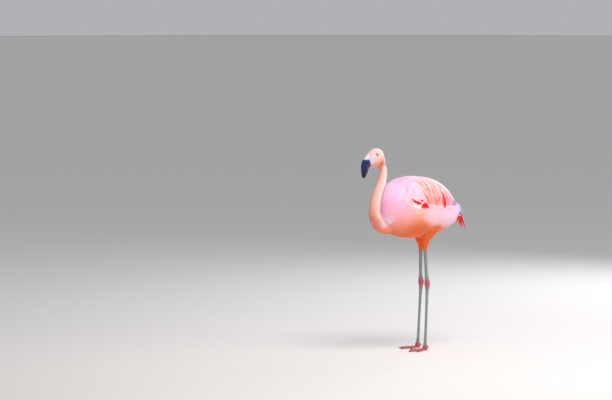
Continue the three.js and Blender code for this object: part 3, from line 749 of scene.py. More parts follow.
def bare_leg(side):
    """The leg's tube, with raised plates: bands 4.6 mm high down its front as the root of a sine,
    and small diamonds, the product of two slanted sines, on its other sides."""
    height, around = round_grid(np.linspace(15, 388, 250), 26)
    front = smooth(0.25, 0.75, np.sin(around))
    bands = np.abs(np.sin(np.pi * height / 4.6)) ** 0.5
    slant = around * 3.5
    diamonds = np.abs(np.sin(np.pi * height / 5.2 + slant) * np.sin(np.pi * height / 5.2 - slant)) ** 0.5
    relief = (0.45 * bands * front + 0.3 * diamonds * (1 - front)) * smooth(392, 360, height) - 0.35
    return rod(leg_surface(height, around, side, relief))


def toe_solid(side, length, turn):
    """A low tube, flat below, which swells a little at each joint and ends in a round pad."""
    s, around = round_grid(np.linspace(0, 1, 60), 20)
    joint = 0.45 * np.cos(s * np.pi * 6)
    end = np.sqrt(np.clip(1 - ((s - 0.93) / 0.07).clip(0) ** 2, 0.04, 1))
    half, rise = (5 - 1.6 * s + joint) * end, (8 - 3.2 * s + joint) * end
    out, height = (length - CLAW_LENGTH + 0.5) * s, np.sin(around).clip(0) * rise + 0.05
    return rod(toe_place(side, turn, out, half * np.cos(around), height))


def web_solid(side):
    """The webs as one thin plate from the foot's middle: its front edge runs from toe to toe, drawn
    in between them as the square of a sine."""
    turn = np.linspace(-23, 26, 64)
    reach = np.interp(turn, [-23, 2, 26], [50, 68, 60])
    inward = 9 * np.where(turn < 2, np.sin(np.pi * (turn + 23) / 25), np.sin(np.pi * (turn - 2) / 24)) ** 2
    share = np.linspace(0.04, 1, 26)
    out = share[:, None] * (reach - inward)[None, :]
    slope = np.broadcast_to(turn, out.shape)
    top = toe_place(side, slope, out, 0 * out, 1.9 + 0 * out)
    low = toe_place(side, slope, out, 0 * out, 0.1 + 0 * out)
    return rod(np.concatenate([top, low[:, ::-1]], 1))


def foot_flesh(side):
    """Toes, web, the knob at their root and the hind toe, welded; then cross plates 3.1 mm apart
    along the toes' tops, fine folds in the web, and the sole set flat on the floor."""
    forward, left = foot_middle(side)
    s, around = round_grid(np.linspace(0, 1, 20), 28)
    swell = 1 + 0.35 * np.sin(np.pi * s)
    knob = place(forward + 7.5 * swell * np.sin(around), side * (left + 7 * swell * np.cos(around)),
                 19 * (1 - s))
    radius = (3.2 - 2 * s * s) * np.sqrt(np.clip(1 - ((s - 0.85) / 0.15).clip(0) ** 2, 0.05, 1))
    hind = place(forward - 1 - 21 * s, side * (left + radius * np.cos(around)),
                 22 - 17 * s + radius * np.sin(around))
    toes = [toe_solid(side, length, turn) for length, turn in TOES.values()]
    made = welded(together(rod(knob), rod(hind), *toes, web_solid(side)), 0.8, 3)
    ahead, aside, height = millimetres(made["corners"])
    ahead, aside = ahead - forward, side * aside - left
    out, turned = np.hypot(ahead, aside), np.degrees(np.arctan2(aside, ahead))
    top = smooth(1.2, 2.6, height) * smooth(6, 12, out)
    plates = 0.28 * np.abs(np.sin(np.pi * out / 3.1)) ** 0.5 * smooth(2.6, 3.4, height)
    folds = 0.12 * np.sin(out * 2.1 + 0.6 * np.sin(np.radians(turned) * 24)) * smooth(3.2, 2.4, height)
    lifted = height + top * (plates + folds)
    made["corners"][:, 2] = np.where(height < 0.75, 0.0, lifted) / 1000
    return made


def eye_frame(side):
    """The eye's middle and the three ways of its own: out of the head, forward and up."""
    middle = head_surface(EYE_ANGLE, EYE_ROUND, -EYE_DEPTH) * np.array([side, 1, 1])
    out = unit(np.array([side * 0.93, -0.26, 0.26]))
    bill_way = np.array([0, -1.0, -0.2])
    ahead = unit(bill_way - out * (bill_way @ out))
    return middle, out, ahead, np.cross(ahead, out) * -side


def eyelids(side):
    """A soft ring round the eye: a flattened circle carried round an oval, thicker above, with two
    low folds in it."""
    middle, out, ahead, up = eye_frame(side)
    up = up * np.sign(up[2])
    rings, steps = 64, 14
    turn, around = round_grid(np.linspace(0, 2 * np.pi, rings, False), steps)
    thick = 0.8 + 0.2 * np.sin(turn) + 0.1 * np.cos(2 * around + 5 * turn)
    corner = np.cos(turn) ** 4
    radius = 4.5 + 0.75 * corner + thick * np.cos(around)
    depth = 3.3 - 0.5 * corner + 0.9 * thick * np.sin(around)
    points = ((np.cos(turn) * radius)[..., None] * ahead + (np.sin(turn) * radius * 0.93)[..., None] * up
              + depth[..., None] * out)
    i, j = np.meshgrid(np.arange(rings), np.arange(steps), indexing="ij")
    k, l = (i + 1) % rings, (j + 1) % steps
    quads = np.stack([i * steps + j, i * steps + l, k * steps + l, k * steps + j], -1).reshape(-1, 4)
    return shape((middle + points / 1000).reshape(-1, 3), quads, np.zeros((0, 3), int))


flesh = body_flesh()
flesh["tint"] = bird_colour(flesh["corners"])
flesh["scaly"] = np.zeros(len(flesh["corners"]))
skin_parts = [flesh]
for side, _ in SIDES:
    for part in (bare_leg(side), foot_flesh(side)):
        part["tint"], part["scaly"] = leg_colour(part["corners"]), np.ones(len(part["corners"]))
        skin_parts.append(part)
    lid = eyelids(side)
    lid["tint"] = np.broadcast_to(linear("f3d2c6"), lid["corners"].shape)
    lid["scaly"] = np.zeros(len(lid["corners"]))
    skin_parts.append(lid)
whole_skin = together(*skin_parts)
skin_mesh = marked(mesh_from("skin", whole_skin), tint=whole_skin["tint"])
first_corner = np.concatenate([whole_skin["quads"][:, 0], whole_skin["fans"][:, 0]])
leg_parts = ("thigh", "shin", "ankle", "shank", "foot", "hind_toe")
skin = piece("skin", skin_mesh, [SKIN, SCALES], [
    "trunk", "neck_base", "neck_lower", "neck_middle", "neck_upper", "head",
    *(f"{part}_{name}" for part in leg_parts for _, name in SIDES)])
skin_mesh.polygons.foreach_set("material_index", whole_skin["scaly"][first_corner].astype(np.int32))


# ------------------------------------------------------------------ the coat
def settled(points):
    """The nearest places on the skin to an array of points, all at once, by a Shrinkwrap."""
    flat = np.ascontiguousarray(points.reshape(-1, 3), np.float32)
    mesh = bpy.data.meshes.new("sounding")
    mesh.vertices.add(len(flat))
    mesh.vertices.foreach_set("co", flat.ravel())
    sounding = bpy.data.objects.new("sounding", mesh)
    SCENE.collection.objects.link(sounding)
    lay = sounding.modifiers.new("lay", "SHRINKWRAP")
    lay.target, lay.wrap_method = skin, "NEAREST_SURFACEPOINT"
    laid = sounding.evaluated_get(bpy.context.evaluated_depsgraph_get()).data
    found = np.zeros(len(flat) * 3, np.float32)
    laid.vertices.foreach_get("co", found)
    bpy.data.objects.remove(sounding)
    bpy.data.meshes.remove(mesh)
    return found.reshape(points.shape).astype(float)


def rows_of_roots(surface, a_span, b_span, row_mm, gap_mm):
    """Roots in rows: the rows lie row_mm apart along the surface, and the roots gap_mm apart in each
    row, by its own girth, with every other row set over by half a gap and all a little uneven."""
    a = np.linspace(*a_span, 500)
    b = np.linspace(*b_span, 121)
    steps = np.linalg.norm(np.diff(surface(*np.meshgrid(a, b[::10], indexing="ij"), 0.0), axis=0), axis=-1)
    reached = np.concatenate([[0], np.cumsum(steps.max(1))]) * 1000
    rows = np.interp(np.arange(row_mm / 2, reached[-1], row_mm), reached, a)
    across = np.diff(surface(*np.meshgrid(rows, b, indexing="ij"), 0.0), axis=1)
    girth = np.cumsum(np.linalg.norm(across, axis=-1) * 1000, 1)
    girth = np.concatenate([np.zeros((len(rows), 1)), girth], 1)
    counts = np.maximum(np.round(girth[:, -1] / gap_mm), 3).astype(int)
    found = [np.interp((np.arange(n) + 0.25 + 0.5 * (k % 2)) / n * run[-1], run, b)
             for k, (run, n) in enumerate(zip(girth, counts))]
    a, b = np.repeat(rows, counts), np.concatenate(found)
    a = a + CHANCE.normal(0, 0.16, len(a)) * row_mm / reached[-1] * (a_span[1] - a_span[0])
    whole = np.repeat(girth[:, -1], counts)
    return a, b + CHANCE.normal(0, 0.16, len(b)) * gap_mm / whole * (b_span[1] - b_span[0])


# Where a small vane has its corners, as shares of its length, with its half width there.
BROAD = np.array([[0.0, 0], [0.15, 0.52], [0.36, 0.9], [0.6, 1.0], [0.83, 0.8], [0.95, 0.44], [1.0, 0]])
NARROW = np.array([[0.0, 0], [0.4, 1.0], [0.8, 0.72], [1.0, 0]])

# The span of a number that runs once round, and of both numbers of a surface with two poles.
TURN, BALL_SPREAD = (0, 2 * np.pi), (0, np.pi, 0, 2 * np.pi)

# Down hides the edges of small feathers, so light falls on a vane partly as it falls on the body
# under it: the body's way out counts by this much against the vane's own.
SOFTNESS = 0.6
# How high a small vane's shaft stands, as a share of its half width; its thickness in metres; the
# painted shade at its root, where the vane before it covers it, and the painted light at its tip,
# as factors on its colour; and how high its tip lies, as a share of the coat's depth.
SHAFT_RISE, VANE_THICK = 0.09, 0.00018
ROOT_PAINTED_SHADE, TIP_PAINTED_LIGHT = 0.93, 1.05
TIP_HEIGHT = 0.92


def with_ends(rings, ends):
    """Numbers by vane, station and corner as one list, with one more at each vane's root and tip."""
    n = len(rings)
    return np.concatenate([rings.reshape(n, -1, 3), ends[:, :1], ends[:, -1:]], 1).reshape(-1, 3)


def vane_shapes(rings, ends, under):
    """Many vanes as one shape. Each is a tube of its rings, closed in a point at its root and its
    tip; under tells of each side of the tube whether it faces down."""
    n, inner, steps = rings.shape[:3]
    quads, fans = tube_faces(inner, steps)
    shift = np.arange(n)[:, None, None] * (inner * steps + 2)
    return shape(with_ends(rings, ends), (quads + shift).reshape(-1, 4), (fans + shift).reshape(-1, 3),
                 quads_under=np.tile(under, n * (inner - 1)), fans_under=np.tile(under, n * 2))


def vanes(centre, out, half, crown, stations):
    """Small vanes, all at once: round each inner station goes a left edge, a raised shaft, a right
    edge and an underside. centre and out are vanes by stations by three; half and crown are metres.
    The normals are soft on top and turned over on the undersides."""
    inner = len(stations) - 2
    share = stations[1:-1, 1]
    onward = unit(np.gradient(centre, axis=1))[:, 1:-1]
    middle, over = centre[:, 1:-1], out[:, 1:-1]
    aside = unit(np.cross(over, onward))
    over = np.cross(onward, aside)
    wide = half[:, None, None] * share[None, :, None]
    high = crown[:, None, None] * share[None, :, None]
    rings = np.stack([middle - aside * wide, middle + over * high, middle + aside * wide,
                      middle + over * (high - VANE_THICK)], 2)
    made = vane_shapes(rings, centre, [0, 0, 1, 1])
    across = np.concatenate([np.tile([-1, 0, 1, 0], inner) * np.repeat(share, 4), [0, 0]])
    reach = np.concatenate([np.repeat(stations[1:-1, 0], 4), [0, 1]])
    soft = unit(SOFTNESS * out[:, 1:-1] + over)
    normals = np.stack([unit(soft - 0.2 * aside), soft, unit(soft + 0.2 * aside), soft], 2)
    made["normal"] = with_ends(normals, soft)
    made["under_normal"] = -made["normal"]
    return made, across, reach


def coat(name, material, surface, a, b, length, half, above, depth, flow, colour, spread,
         keep=None, stations=BROAD, low=0.42, within=3.5):
    """A coat piece: roots are set on the skin, each vane follows it along the flow, low at its root
    and near the coat's full depth at its tip, and takes its colour from the markings at its root,
    with a small chance change. Painted shade darkens each vane towards its root, where the vane
    before it covers it, and leaves its tip a little lighter. Lengths are mm: above is how far over
    the skin the lie is sought, and within how far from its place a root may settle. low is the
    root's height as a share of the depth. spread is the span of the surface's two numbers: the bake
    map puts each vane in a patch 0.003 across at its root's share of them."""
    start, out = surface(a, b, 0.0), outward_of(surface, a, b)
    root = settled(start - out * np.reshape(depth - 1.2, (-1, 1)) / 1000)
    inside = start - out * np.reshape(depth, (-1, 1)) / 1000
    good = np.linalg.norm(root - inside, axis=-1) < (within + 0.4 * depth) / 1000
    if keep is not None:
        good &= keep(root)
    pick = lambda value: value[good] if isinstance(value, np.ndarray) else np.full(good.sum(), float(value))
    root, out, a, b, length, half, depth = map(pick, (root, out, a, b, length, half, depth))
    way = flow(a, b, root)
    way = way + CHANCE.normal(0, 0.07, way.shape)
    way = unit(way - out * np.einsum("ij,ij->i", way, out)[:, None])
    length = length * CHANCE.uniform(0.86, 1.12, len(length))
    reach = stations[:, 0]
    straight = root[:, None] + way[:, None] * (length[:, None] * reach / 1000)[..., None]
    query = straight + out[:, None] * above / 1000
    laid = settled(query)
    over = unit(query - laid)
    stray = np.linalg.norm(laid - straight, axis=-1) > 0.42 * length[:, None] / 1000 + 0.0004
    laid = np.where(stray[..., None], straight, laid)
    over = np.where((np.einsum("ijk,ik->ij", over, out) < 0.35)[..., None], out[:, None], over)
    lift = low + (TIP_HEIGHT - low) * reach[None]
    lift = lift * depth[:, None] * CHANCE.uniform(0.92, 1.06, (len(depth), 1))
    centre = laid + over * lift[..., None] / 1000
    made, across, reach = vanes(centre, over, half / 1000, half * SHAFT_RISE / 1000, stations)
    tone = colour(root) * CHANCE.normal(1, 0.035, (len(root), 1))
    tone = tone * (1 + CHANCE.normal(0, 0.02, (len(root), 3)))
    # Painted shade: each vane is darker towards its root, where the vane before it covers it, and lighter at
    # its tip.
    painted_shading = ROOT_PAINTED_SHADE + (TIP_PAINTED_LIGHT - ROOT_PAINTED_SHADE) * smooth(0.2, 1.0, reach)
    made["tint"] = (tone[:, None] * painted_shading[None, :, None]).reshape(-1, 3)
    made["vane"] = np.stack([across[None] * half[:, None], reach[None] * length[:, None]], -1).reshape(-1, 2)
    place_u = 0.005 + 0.99 * (a - spread[0]) / (spread[1] - spread[0])
    place_v = 0.005 + 0.99 * np.mod(b - spread[2], 2 * np.pi) / (spread[3] - spread[2])
    made["bake"] = np.stack([
        place_u[:, None] + 0.0015 * across[None],
        place_v[:, None] + 0.003 * (reach[None] - 0.5)], -1).reshape(-1, 2)
    return finished_coat(name, material, made)


def finished_coat(name, material, made, replaced=()):
    """Puts a coat's arrays in a mesh, with the normals worked out for its vanes. The faces of their
    undersides take normals of their own, so that no rim is lit as if it faced up."""
    mesh = marked(mesh_from(name, made), made["tint"], made["vane"], np.clip(made["bake"], 0, 1))
    normals = []
    for faces in ("quads", "fans"):
        under = made[faces + "_under"][:, None, None] == 1
        turned = np.where(under, made["under_normal"][made[faces]], made["normal"][made[faces]])
        normals.append(turned.reshape(-1, 3))
    mesh.normals_split_custom_set(np.concatenate(normals).tolist())
    return piece(name, mesh, [material], replaced)


def body_flow(a, b, root):
    """Feathers of the trunk point away from the front pole, and sag a little under their weight."""
    sag = 0.10 + 0.25 * smooth(620, 520, root[..., 2] * 1000)
    return onward_of(body_surface, a, b, 0.004) + np.array([0, 0, -1.0]) * sag[:, None]


def body_sizes(forward, b):
    """Length and half width of the trunk's feathers in mm: shortest on the breast, longest on the
    flank and at the rear."""
    below = smooth(0.1, -0.5, np.sin(b))
    length = 17.0 + 8 * smooth(190, -60, forward) + 3 * below * smooth(120, -40, forward)
    return length, 0.13 * length + 0.9


# The stretches of the neck, the thighs and the tail's cone that the trunk's coat keeps clear of.
NECK_SPAN, THIGH_SPAN, TAIL_SPAN = (0.6, 7.0), (400, 450), (0.5, 2.4)


def clear_of(points, surface, span):
    """How far points are from a tube in mm, with the tube taken as balls along its middle line."""
    run = np.linspace(*span, 60)
    near, far = surface(run, 0 * run, 0.0), surface(run, 0 * run + np.pi, 0.0)
    radius = np.linalg.norm(near - far, axis=-1) / 2
    return (np.linalg.norm(points[:, None] - (near + far) / 2, axis=-1) - radius).min(1) * 1000


def off_the_neck(root):
    """True where a root of the body's coat is outside the neck's tube."""
    return clear_of(root, neck_surface, NECK_SPAN) > -2.0


# The trunk's coat leaves out what the long feathers, the thighs and the tail's cone cover, and its
# vanes are shorter where room is short beside the neck, the thighs and the tail. It is cut in four
# at two places forward, of the breast's rear and of the belly's.
BREAST_REAR, BELLY_REAR = 130, 20
a, b = rows_of_roots(body_surface, (0.03, np.pi - 0.1), TURN, 4.2, 3.9)
spots, forward = body_surface(a, b), forward_at(a)
wing_s, wing_t = wing_shares(forward, b)
ragged = 0.025 * waves(spots, 0.03, 21)
under_wing = (
    (wing_s > 0.20 - 0.13 * wing_t + ragged) & (wing_s < 0.90) & (wing_t < 0.95)
    & (wing_t > 0.075 + 0.05 * smooth(0.5, 0.85, wing_s) + 0.4 * ragged))
length, half = body_sizes(forward, b)
from_thigh = np.minimum(*(clear_of(spots, thigh_of(side), THIGH_SPAN) for side, _ in SIDES))
from_tail = clear_of(spots, tail_surface, TAIL_SPAN)
room = np.minimum(np.minimum(clear_of(spots, neck_surface, NECK_SPAN), from_thigh), from_tail)
length, half = length * np.clip(0.46 + room / 26, 0.46, 1), half * np.clip(0.78 + room / 60, 0.78, 1)
upper = np.sin(b) > 0
for name, chosen in (
        ("coat_breast", forward > BREAST_REAR), ("coat_back", (forward <= BREAST_REAR) & upper),
        ("coat_belly", (forward <= BREAST_REAR) & (forward > BELLY_REAR) & ~upper),
        ("coat_vent", (forward <= BELLY_REAR) & ~upper)):
    chosen = chosen & ~under_wing & (from_thigh > 1.0) & (from_tail > 2.0)
    coat(name, CONTOUR, body_surface, a[chosen], b[chosen], length[chosen], half[chosen],
         7.0, TRUNK_COAT, body_flow, body_colour, BALL_SPREAD, keep=off_the_neck)


def outside_body_and_head(root):
    """True where a root of the neck's coat is outside the trunk's and the head's ellipsoids."""
    forward, left, height = millimetres(root)
    angle = angle_at(forward)
    ring = np.abs(np.sin(angle)) ** TRUNK_FULLNESS + 1e-6
    down = height < along(TRUNK, 1, forward)
    rise = np.where(down, along(TRUNK, 3, forward), along(TRUNK, 2, forward)) - TRUNK_COAT
    body = np.hypot(left / (along(TRUNK, 4, forward) - TRUNK_COAT),
                    (height - along(TRUNK, 1, forward)) / rise) / ring
    ahead, above = head_place(forward, height)
    head = np.sqrt((ahead / np.where(ahead > 0, HEAD_FRONT, HEAD_BACK)) ** 2 + (left / HEAD_HALF) ** 2
                   + (above / np.where(above > 0, HEAD_UP, HEAD_DOWN)) ** 2)
    return (body > 0.91) & (head > 0.93)


# The neck's coat, cut in two at this step along its middle line.
NECK_CUT = 3.4
a, b = rows_of_roots(neck_surface, (0.6, 7.85), TURN, 1.9, 1.6)
for name, chosen in (("coat_neck_lower", a < NECK_CUT), ("coat_neck_upper", a >= NECK_CUT)):
    coat(name, NECK_PLUSH, neck_surface, a[chosen], b[chosen],
         8.6 - 0.35 * a[chosen], 1.15 - 0.03 * a[chosen], 4.0, NECK_COAT,
         lambda a, b, root: -onward_of(neck_surface, a, b, 0.02), bird_colour, (0, 8, 0, 2 * np.pi),
         stations=NARROW, low=0.3, within=8.0, keep=outside_body_and_head)


def head_flow(a, b, root):
    """The head's feathers point away from the bill, and a little down."""
    return onward_of(head_surface, a, b, 0.02) + np.array([0, 0, -0.25])


def off_the_eyes(root):
    """True where a root is clear of the lids and of the bare face."""
    clear = np.ones(len(root), bool)
    for side, _ in SIDES:
        clear &= np.linalg.norm(root - eye_frame(side)[0], axis=-1) > LID_REACH
    return clear & (bare_face(root) < 0.5)


a, b = rows_of_roots(head_surface, (0.12, np.pi - 0.05), TURN, 1.25, 1.1)
coat("coat_head", NECK_PLUSH, head_surface, a, b, 3.7 + 1.8 * smooth(1.0, 2.4, a), 0.8,
     3.0, HEAD_COAT, head_flow, bird_colour, BALL_SPREAD, keep=off_the_eyes, stations=NARROW, low=0.3)

a, b = rows_of_roots(tail_surface, (0.7, 2.85), TURN, 3.8, 3.4)
coat("coat_tail", CONTOUR, tail_surface, a, b,
     15 - 8 * smooth(1.4, 2.5, a), 3.2 - 1.2 * smooth(1.6, 2.6, a), 4.0, TAIL_COAT,
     lambda a, b, root: onward_of(tail_surface, a, b, 0.02), bird_colour, BALL_SPREAD)

for side, name in SIDES:
    a, b = rows_of_roots(thigh_of(side), (379, 466), TURN, 2.8, 2.4)
    coat(f"coat_thigh_{name}", CONTOUR, thigh_of(side), a, b,
         9.5 + 0.08 * (a - 380), 1.5 + 0.01 * (a - 380), 6.0, 1.0 + (THIGH_COAT - 1.0) * smooth(376, 412, a),
         lambda a, b, root: np.broadcast_to([0, -0.1, -1.0], root.shape), bird_colour,
         (370, 470, 0, 2 * np.pi), stations=NARROW, low=0.25)

# ------------------------------------------------------------------ long feathers
# Round a long vane: how far across each corner lies, and 1 on top or 0 under it.
VANE_ACROSS = np.array([-1, -0.72, -0.36, 0, 0.36, 0.72, 1, 0.6, 0, -0.6])
VANE_TOP = np.array([1, 1, 1, 1, 1, 1, 1, 0, 0, 0])
# The arch of vanes on the wings and of free ones, as a share of the half width; their thickness in
# metres; and how far the wings' vanes are tiled.
WING_CROWN, WING_THICK, FREE_CROWN, FREE_THICK = 0.05, 0.0003, 0.12, 0.0005
WING_TILE = 0.10


def long_vanes(centre, aside, over, half, crown, thick, pale, deep, rim, tile=0.0, fray=0.0):
    """Long vanes, all at once, each a closed lens carried along its middle line: seven corners
    across its arched top and three under it. crown is the arch as a share of the half width. tile
    lifts one rim and lowers the other by that share of it, as tiles lie. fray nicks each rim here
    and there by up to that share, where barbs have parted. pale and deep are the colours of the rim
    and of the middle: pale takes over at about the share rim of the half width, and towards root and
    tip. The undersides' own normals lean outwards at the rims."""
    n, rings = centre.shape[:2]
    v, steps, inner = VANE_ACROSS, len(VANE_ACROSS), rings - 2
    high = (half * crown)[..., None] * (1 - v * v) - thick * (1 - VANE_TOP) + tile * half[..., None] * v
    nicks = fray * CHANCE.random((n, inner, 2)) ** 5
    whole = 1 - np.where(v < 0, nicks[..., :1], nicks[..., 1:]) * np.abs(v) ** 3
    out_of, across_way = over[:, 1:-1, None], aside[:, 1:-1, None]
    points = (centre[:, 1:-1, None] + across_way * (half[:, 1:-1, None] * v * whole)[..., None]
              + out_of * high[:, 1:-1, :, None])
    made = vane_shapes(points, centre, [0] * 6 + [1] * 4)
    made["normal"] = with_ends(unit(out_of + 0.2 * v[:, None] * across_way), over)
    sideways = unit(v[:, None] * across_way - (1.05 - np.abs(v))[:, None] * out_of)
    made["under_normal"] = with_ends(sideways, -over)
    reach = np.concatenate([np.repeat(np.linspace(0, 1, rings)[1:-1], steps), [0, 1]])
    across = np.concatenate([np.tile(v, inner), [0, 0]])
    edge = smooth(rim - 0.3, rim + 0.25, np.abs(across))
    share = np.clip(edge + 0.6 * smooth(0.9, 1.0, reach) + 0.8 * smooth(0.55, 0.2, reach), 0, 1)
    made["tint"] = blend(deep[:, None], pale[:, None], share[None]).reshape(-1, 3)
    wide = (half[:, 1:-1, None] * v).reshape(n, -1) * 1000
    wide = np.concatenate([wide, np.zeros((n, 2))], 1)
    run = np.linalg.norm(np.diff(centre, axis=1), axis=-1).sum(1) * 1000
    made["vane"] = np.stack([wide, reach[None] * run[:, None]], -1).reshape(-1, 2)
    cells, cell = int(np.ceil(np.sqrt(n))), np.arange(n)
    made["bake"] = np.stack([
        ((cell % cells)[:, None] + 0.5 + 0.4 * across[None]) / cells,
        ((cell // cells)[:, None] + 0.08 + 0.84 * reach[None]) / cells], -1).reshape(-1, 2)
    return made


def vane_widths(rings, blunt):
    """Half width along a long vane, as a share: it fills out over the first quarter and closes as
    the root of 1 - u to a power; a higher power gives a blunter tip."""
    u = np.linspace(0, 1, rings)
    return np.clip(u / 0.25, 0, 1) ** 0.5 * np.sqrt(np.clip(1 - u ** blunt, 0, 1))


def wing_frame(s, t, lift, side):
    """Places over the wing with the way out of it, for either side."""
    mirror = np.array([side, 1.0, 1.0])
    here = wing_surface(s, t, lift) * mirror
    return here, unit(wing_surface(s, t, lift + 1.0) * mirror - here)


def wing_layer(side, roots, tips, half, low, high, pale, deep, rim, blunt=5.0, fray=0.5, arc=1.0):
    """Feathers laid over the wing. Where arc is 1 each middle line sweeps rearwards first, as a
    quarter sine, and falls to its tip as one minus a quarter cosine; where it is 0 the line runs
    straight. It rises from low to high mm. Each lies over the front rim of the next one back."""
    rings = 22
    u = np.linspace(0, 1, rings)
    (root_s, root_t), (tip_s, tip_t) = np.broadcast_arrays(*roots), np.broadcast_arrays(*tips)
    s = root_s[:, None] + (tip_s - root_s)[:, None] * (u + arc * (np.sin(np.pi / 2 * u) - u))
    t = root_t[:, None] + (tip_t - root_t)[:, None] * (u + arc * (1 - np.cos(np.pi / 2 * u) - u))
    lift = np.resize(low, len(s))[:, None] + np.resize(high - low, len(s))[:, None] * u ** 0.8
    centre, over = wing_frame(s, t, lift, side)
    onward = unit(np.gradient(centre, axis=1))
    aside = unit(np.cross(over, onward)) * side
    over = np.cross(onward, aside) * side
    wide = np.resize(half, len(s))[:, None] * vane_widths(rings, blunt)[None] / 1000
    return long_vanes(centre, aside, over, wide, WING_CROWN, WING_THICK, pale, deep, rim, WING_TILE, fray)


def spaced(first, last, count, unevenness):
    """Even steps from first to last, each a little off its place."""
    return np.linspace(first, last, count) + CHANCE.normal(0, unevenness, count)


def chosen_colours(codes, count, spread=0.03):
    """Colours that follow a list over and over, each a little lighter or darker than the last."""
    values = np.array([linear(code) for code in codes])[np.arange(count) % len(codes)]
    return np.clip(values * CHANCE.normal(1, spread, (count, 1)), 0, 1)


# One row of long feathers each: how many, tips from and to along the wing, the sweep back to the
# roots, heights of the roots and the tips, half width in mm, and depth at root and tip in mm.
WING_ROWS = {
    "flights": (42, 0.17, 1.03, 0.40, 0.86, -0.005, 7.0, -5.0, -2.2),
    "lower_scapulars": (38, 0.16, 0.99, 0.38, 0.93, 0.25, 6.6, -4.4, -1.0),
    "middle_scapulars": (34, 0.14, 0.96, 0.35, 0.97, 0.46, 6.2, -4.2, -0.5),
    "upper_scapulars": (31, 0.10, 0.92, 0.30, 0.97, 0.65, 5.8, -4.6, -0.8),
    "mantle": (28, 0.07, 0.86, 0.24, 0.97, 0.82, 5.4, -5.4, -1.4),
}
ROW_RIMS = {
    "flights": ["fbd2da", "f8c0c8", "fcdce4", "f9cad2"],
    "lower_scapulars": ["fcd8e2", "f9c8d2", "fde2ec"],
    "middle_scapulars": ["fbdce6", "f9ccd8", "fce4f0"],
    "upper_scapulars": ["f2bcda", "f5c8e2"],
    "mantle": ["ecaed4", "f0bade"],
}
ROW_MIDDLES = {
    "flights": ["ee6440", "ec3422", "f28a6c", "f04c34", "f39a82", "ee7250"],
    "lower_scapulars": ["f07650", "f4a490", "ec5434", "f29074", "f6b8b0"],
    "middle_scapulars": ["f28c6e", "f7b8b0", "ec6c4c", "f49e8a", "f8c8cc"],
    "upper_scapulars": ["f39c9c", "f4b8d0", "f08872", "f6c4dc"],
    "mantle": ["eea4c6", "f0b2d4", "ee9aae"],
}


# Crimson tufts: how many vanes, root s and t from and to, tip s and t from and to, half width in mm.
CRIMSON_TUFTS = (
    (6, (0.040, 0.068), (0.046, 0.024), (0.100, 0.136), (0.038, 0.002), 2.4),
    (6, (0.085, 0.118), (0.048, 0.022), (0.148, 0.172), (0.060, 0.030), 2.5),
    (4, (0.166, 0.186), (0.165, 0.160), (0.160, 0.190), (0.096, 0.088), 2.0),
    (14, (0.214, 0.226), (0.108, 0.108), (0.162, 0.282), (-0.054, -0.014), 2.5),
    (3, (0.552, 0.572), (0.42, 0.36), (0.570, 0.590), (0.012, 0.045), 3.6),
)


def crimson_tuft(side, n, root_s, root_t, tip_s, tip_t, half):
    """A tuft of narrow crimson vanes that fan out from their roots to a row of tips."""
    steps = lambda ends, unevenness: np.linspace(*ends, n) + CHANCE.normal(0, unevenness, n)
    red = np.clip(np.array([linear("f20e0a")] * n) * CHANCE.normal(0.97, 0.05, (n, 1)), 0, 1)
    roots = (steps(root_s, 0.003), steps(root_t, 0.006))
    tips = (steps(tip_s, 0.003), steps(tip_t, 0.008))
    return wing_layer(side, roots, tips, half, -1.6, 0.9, red, red * 0.92, 0.8, blunt=3.0, fray=0.3, arc=0.2)


def folded_wing(side):
    """The long feathers of one wing: flight feathers whose tips make its lower margin, rows of
    scapulars that fall over them in long arcs, paler and more lilac towards the rear, and tufts of
    crimson coverts that show between at the bend and as one streak further back."""
    rows = []
    for name, (n, first, last, sweep, root_t, tip_t, half, low, high) in WING_ROWS.items():
        tip = spaced(first, last, n, 0.007)
        grown = 0.42 + 0.58 * smooth(0.08, 0.50, tip)
        end = tip_t + CHANCE.normal(0, 0.028, n) * (tip_t > 0.1)
        rims = blend(chosen_colours(ROW_RIMS[name], n), linear("ead4f0"), smooth(0.62, 0.86, tip) * 0.9)
        deep = chosen_colours(ROW_MIDDLES[name], n, 0.05)
        deep = blend(deep, linear("e8a0cc"), smooth(0.62, 0.80, tip) * 0.85)
        roots = (tip - sweep * grown, end + (root_t - end) * grown)
        rows.append(wing_layer(
            side, roots, (tip, end), half * grown ** 0.5 * CHANCE.normal(1, 0.13, n),
            low, high, rims, blend(rims, deep, smooth(0.10, 0.26, tip)), 0.72))
    tufts = [crimson_tuft(side, *tuft) for tuft in CRIMSON_TUFTS]
    return together(*rows, *tufts)


for side, name in SIDES:
    finished_coat(f"long_feathers_{name}", FLIGHT, folded_wing(side), [f"wing_{name}"])


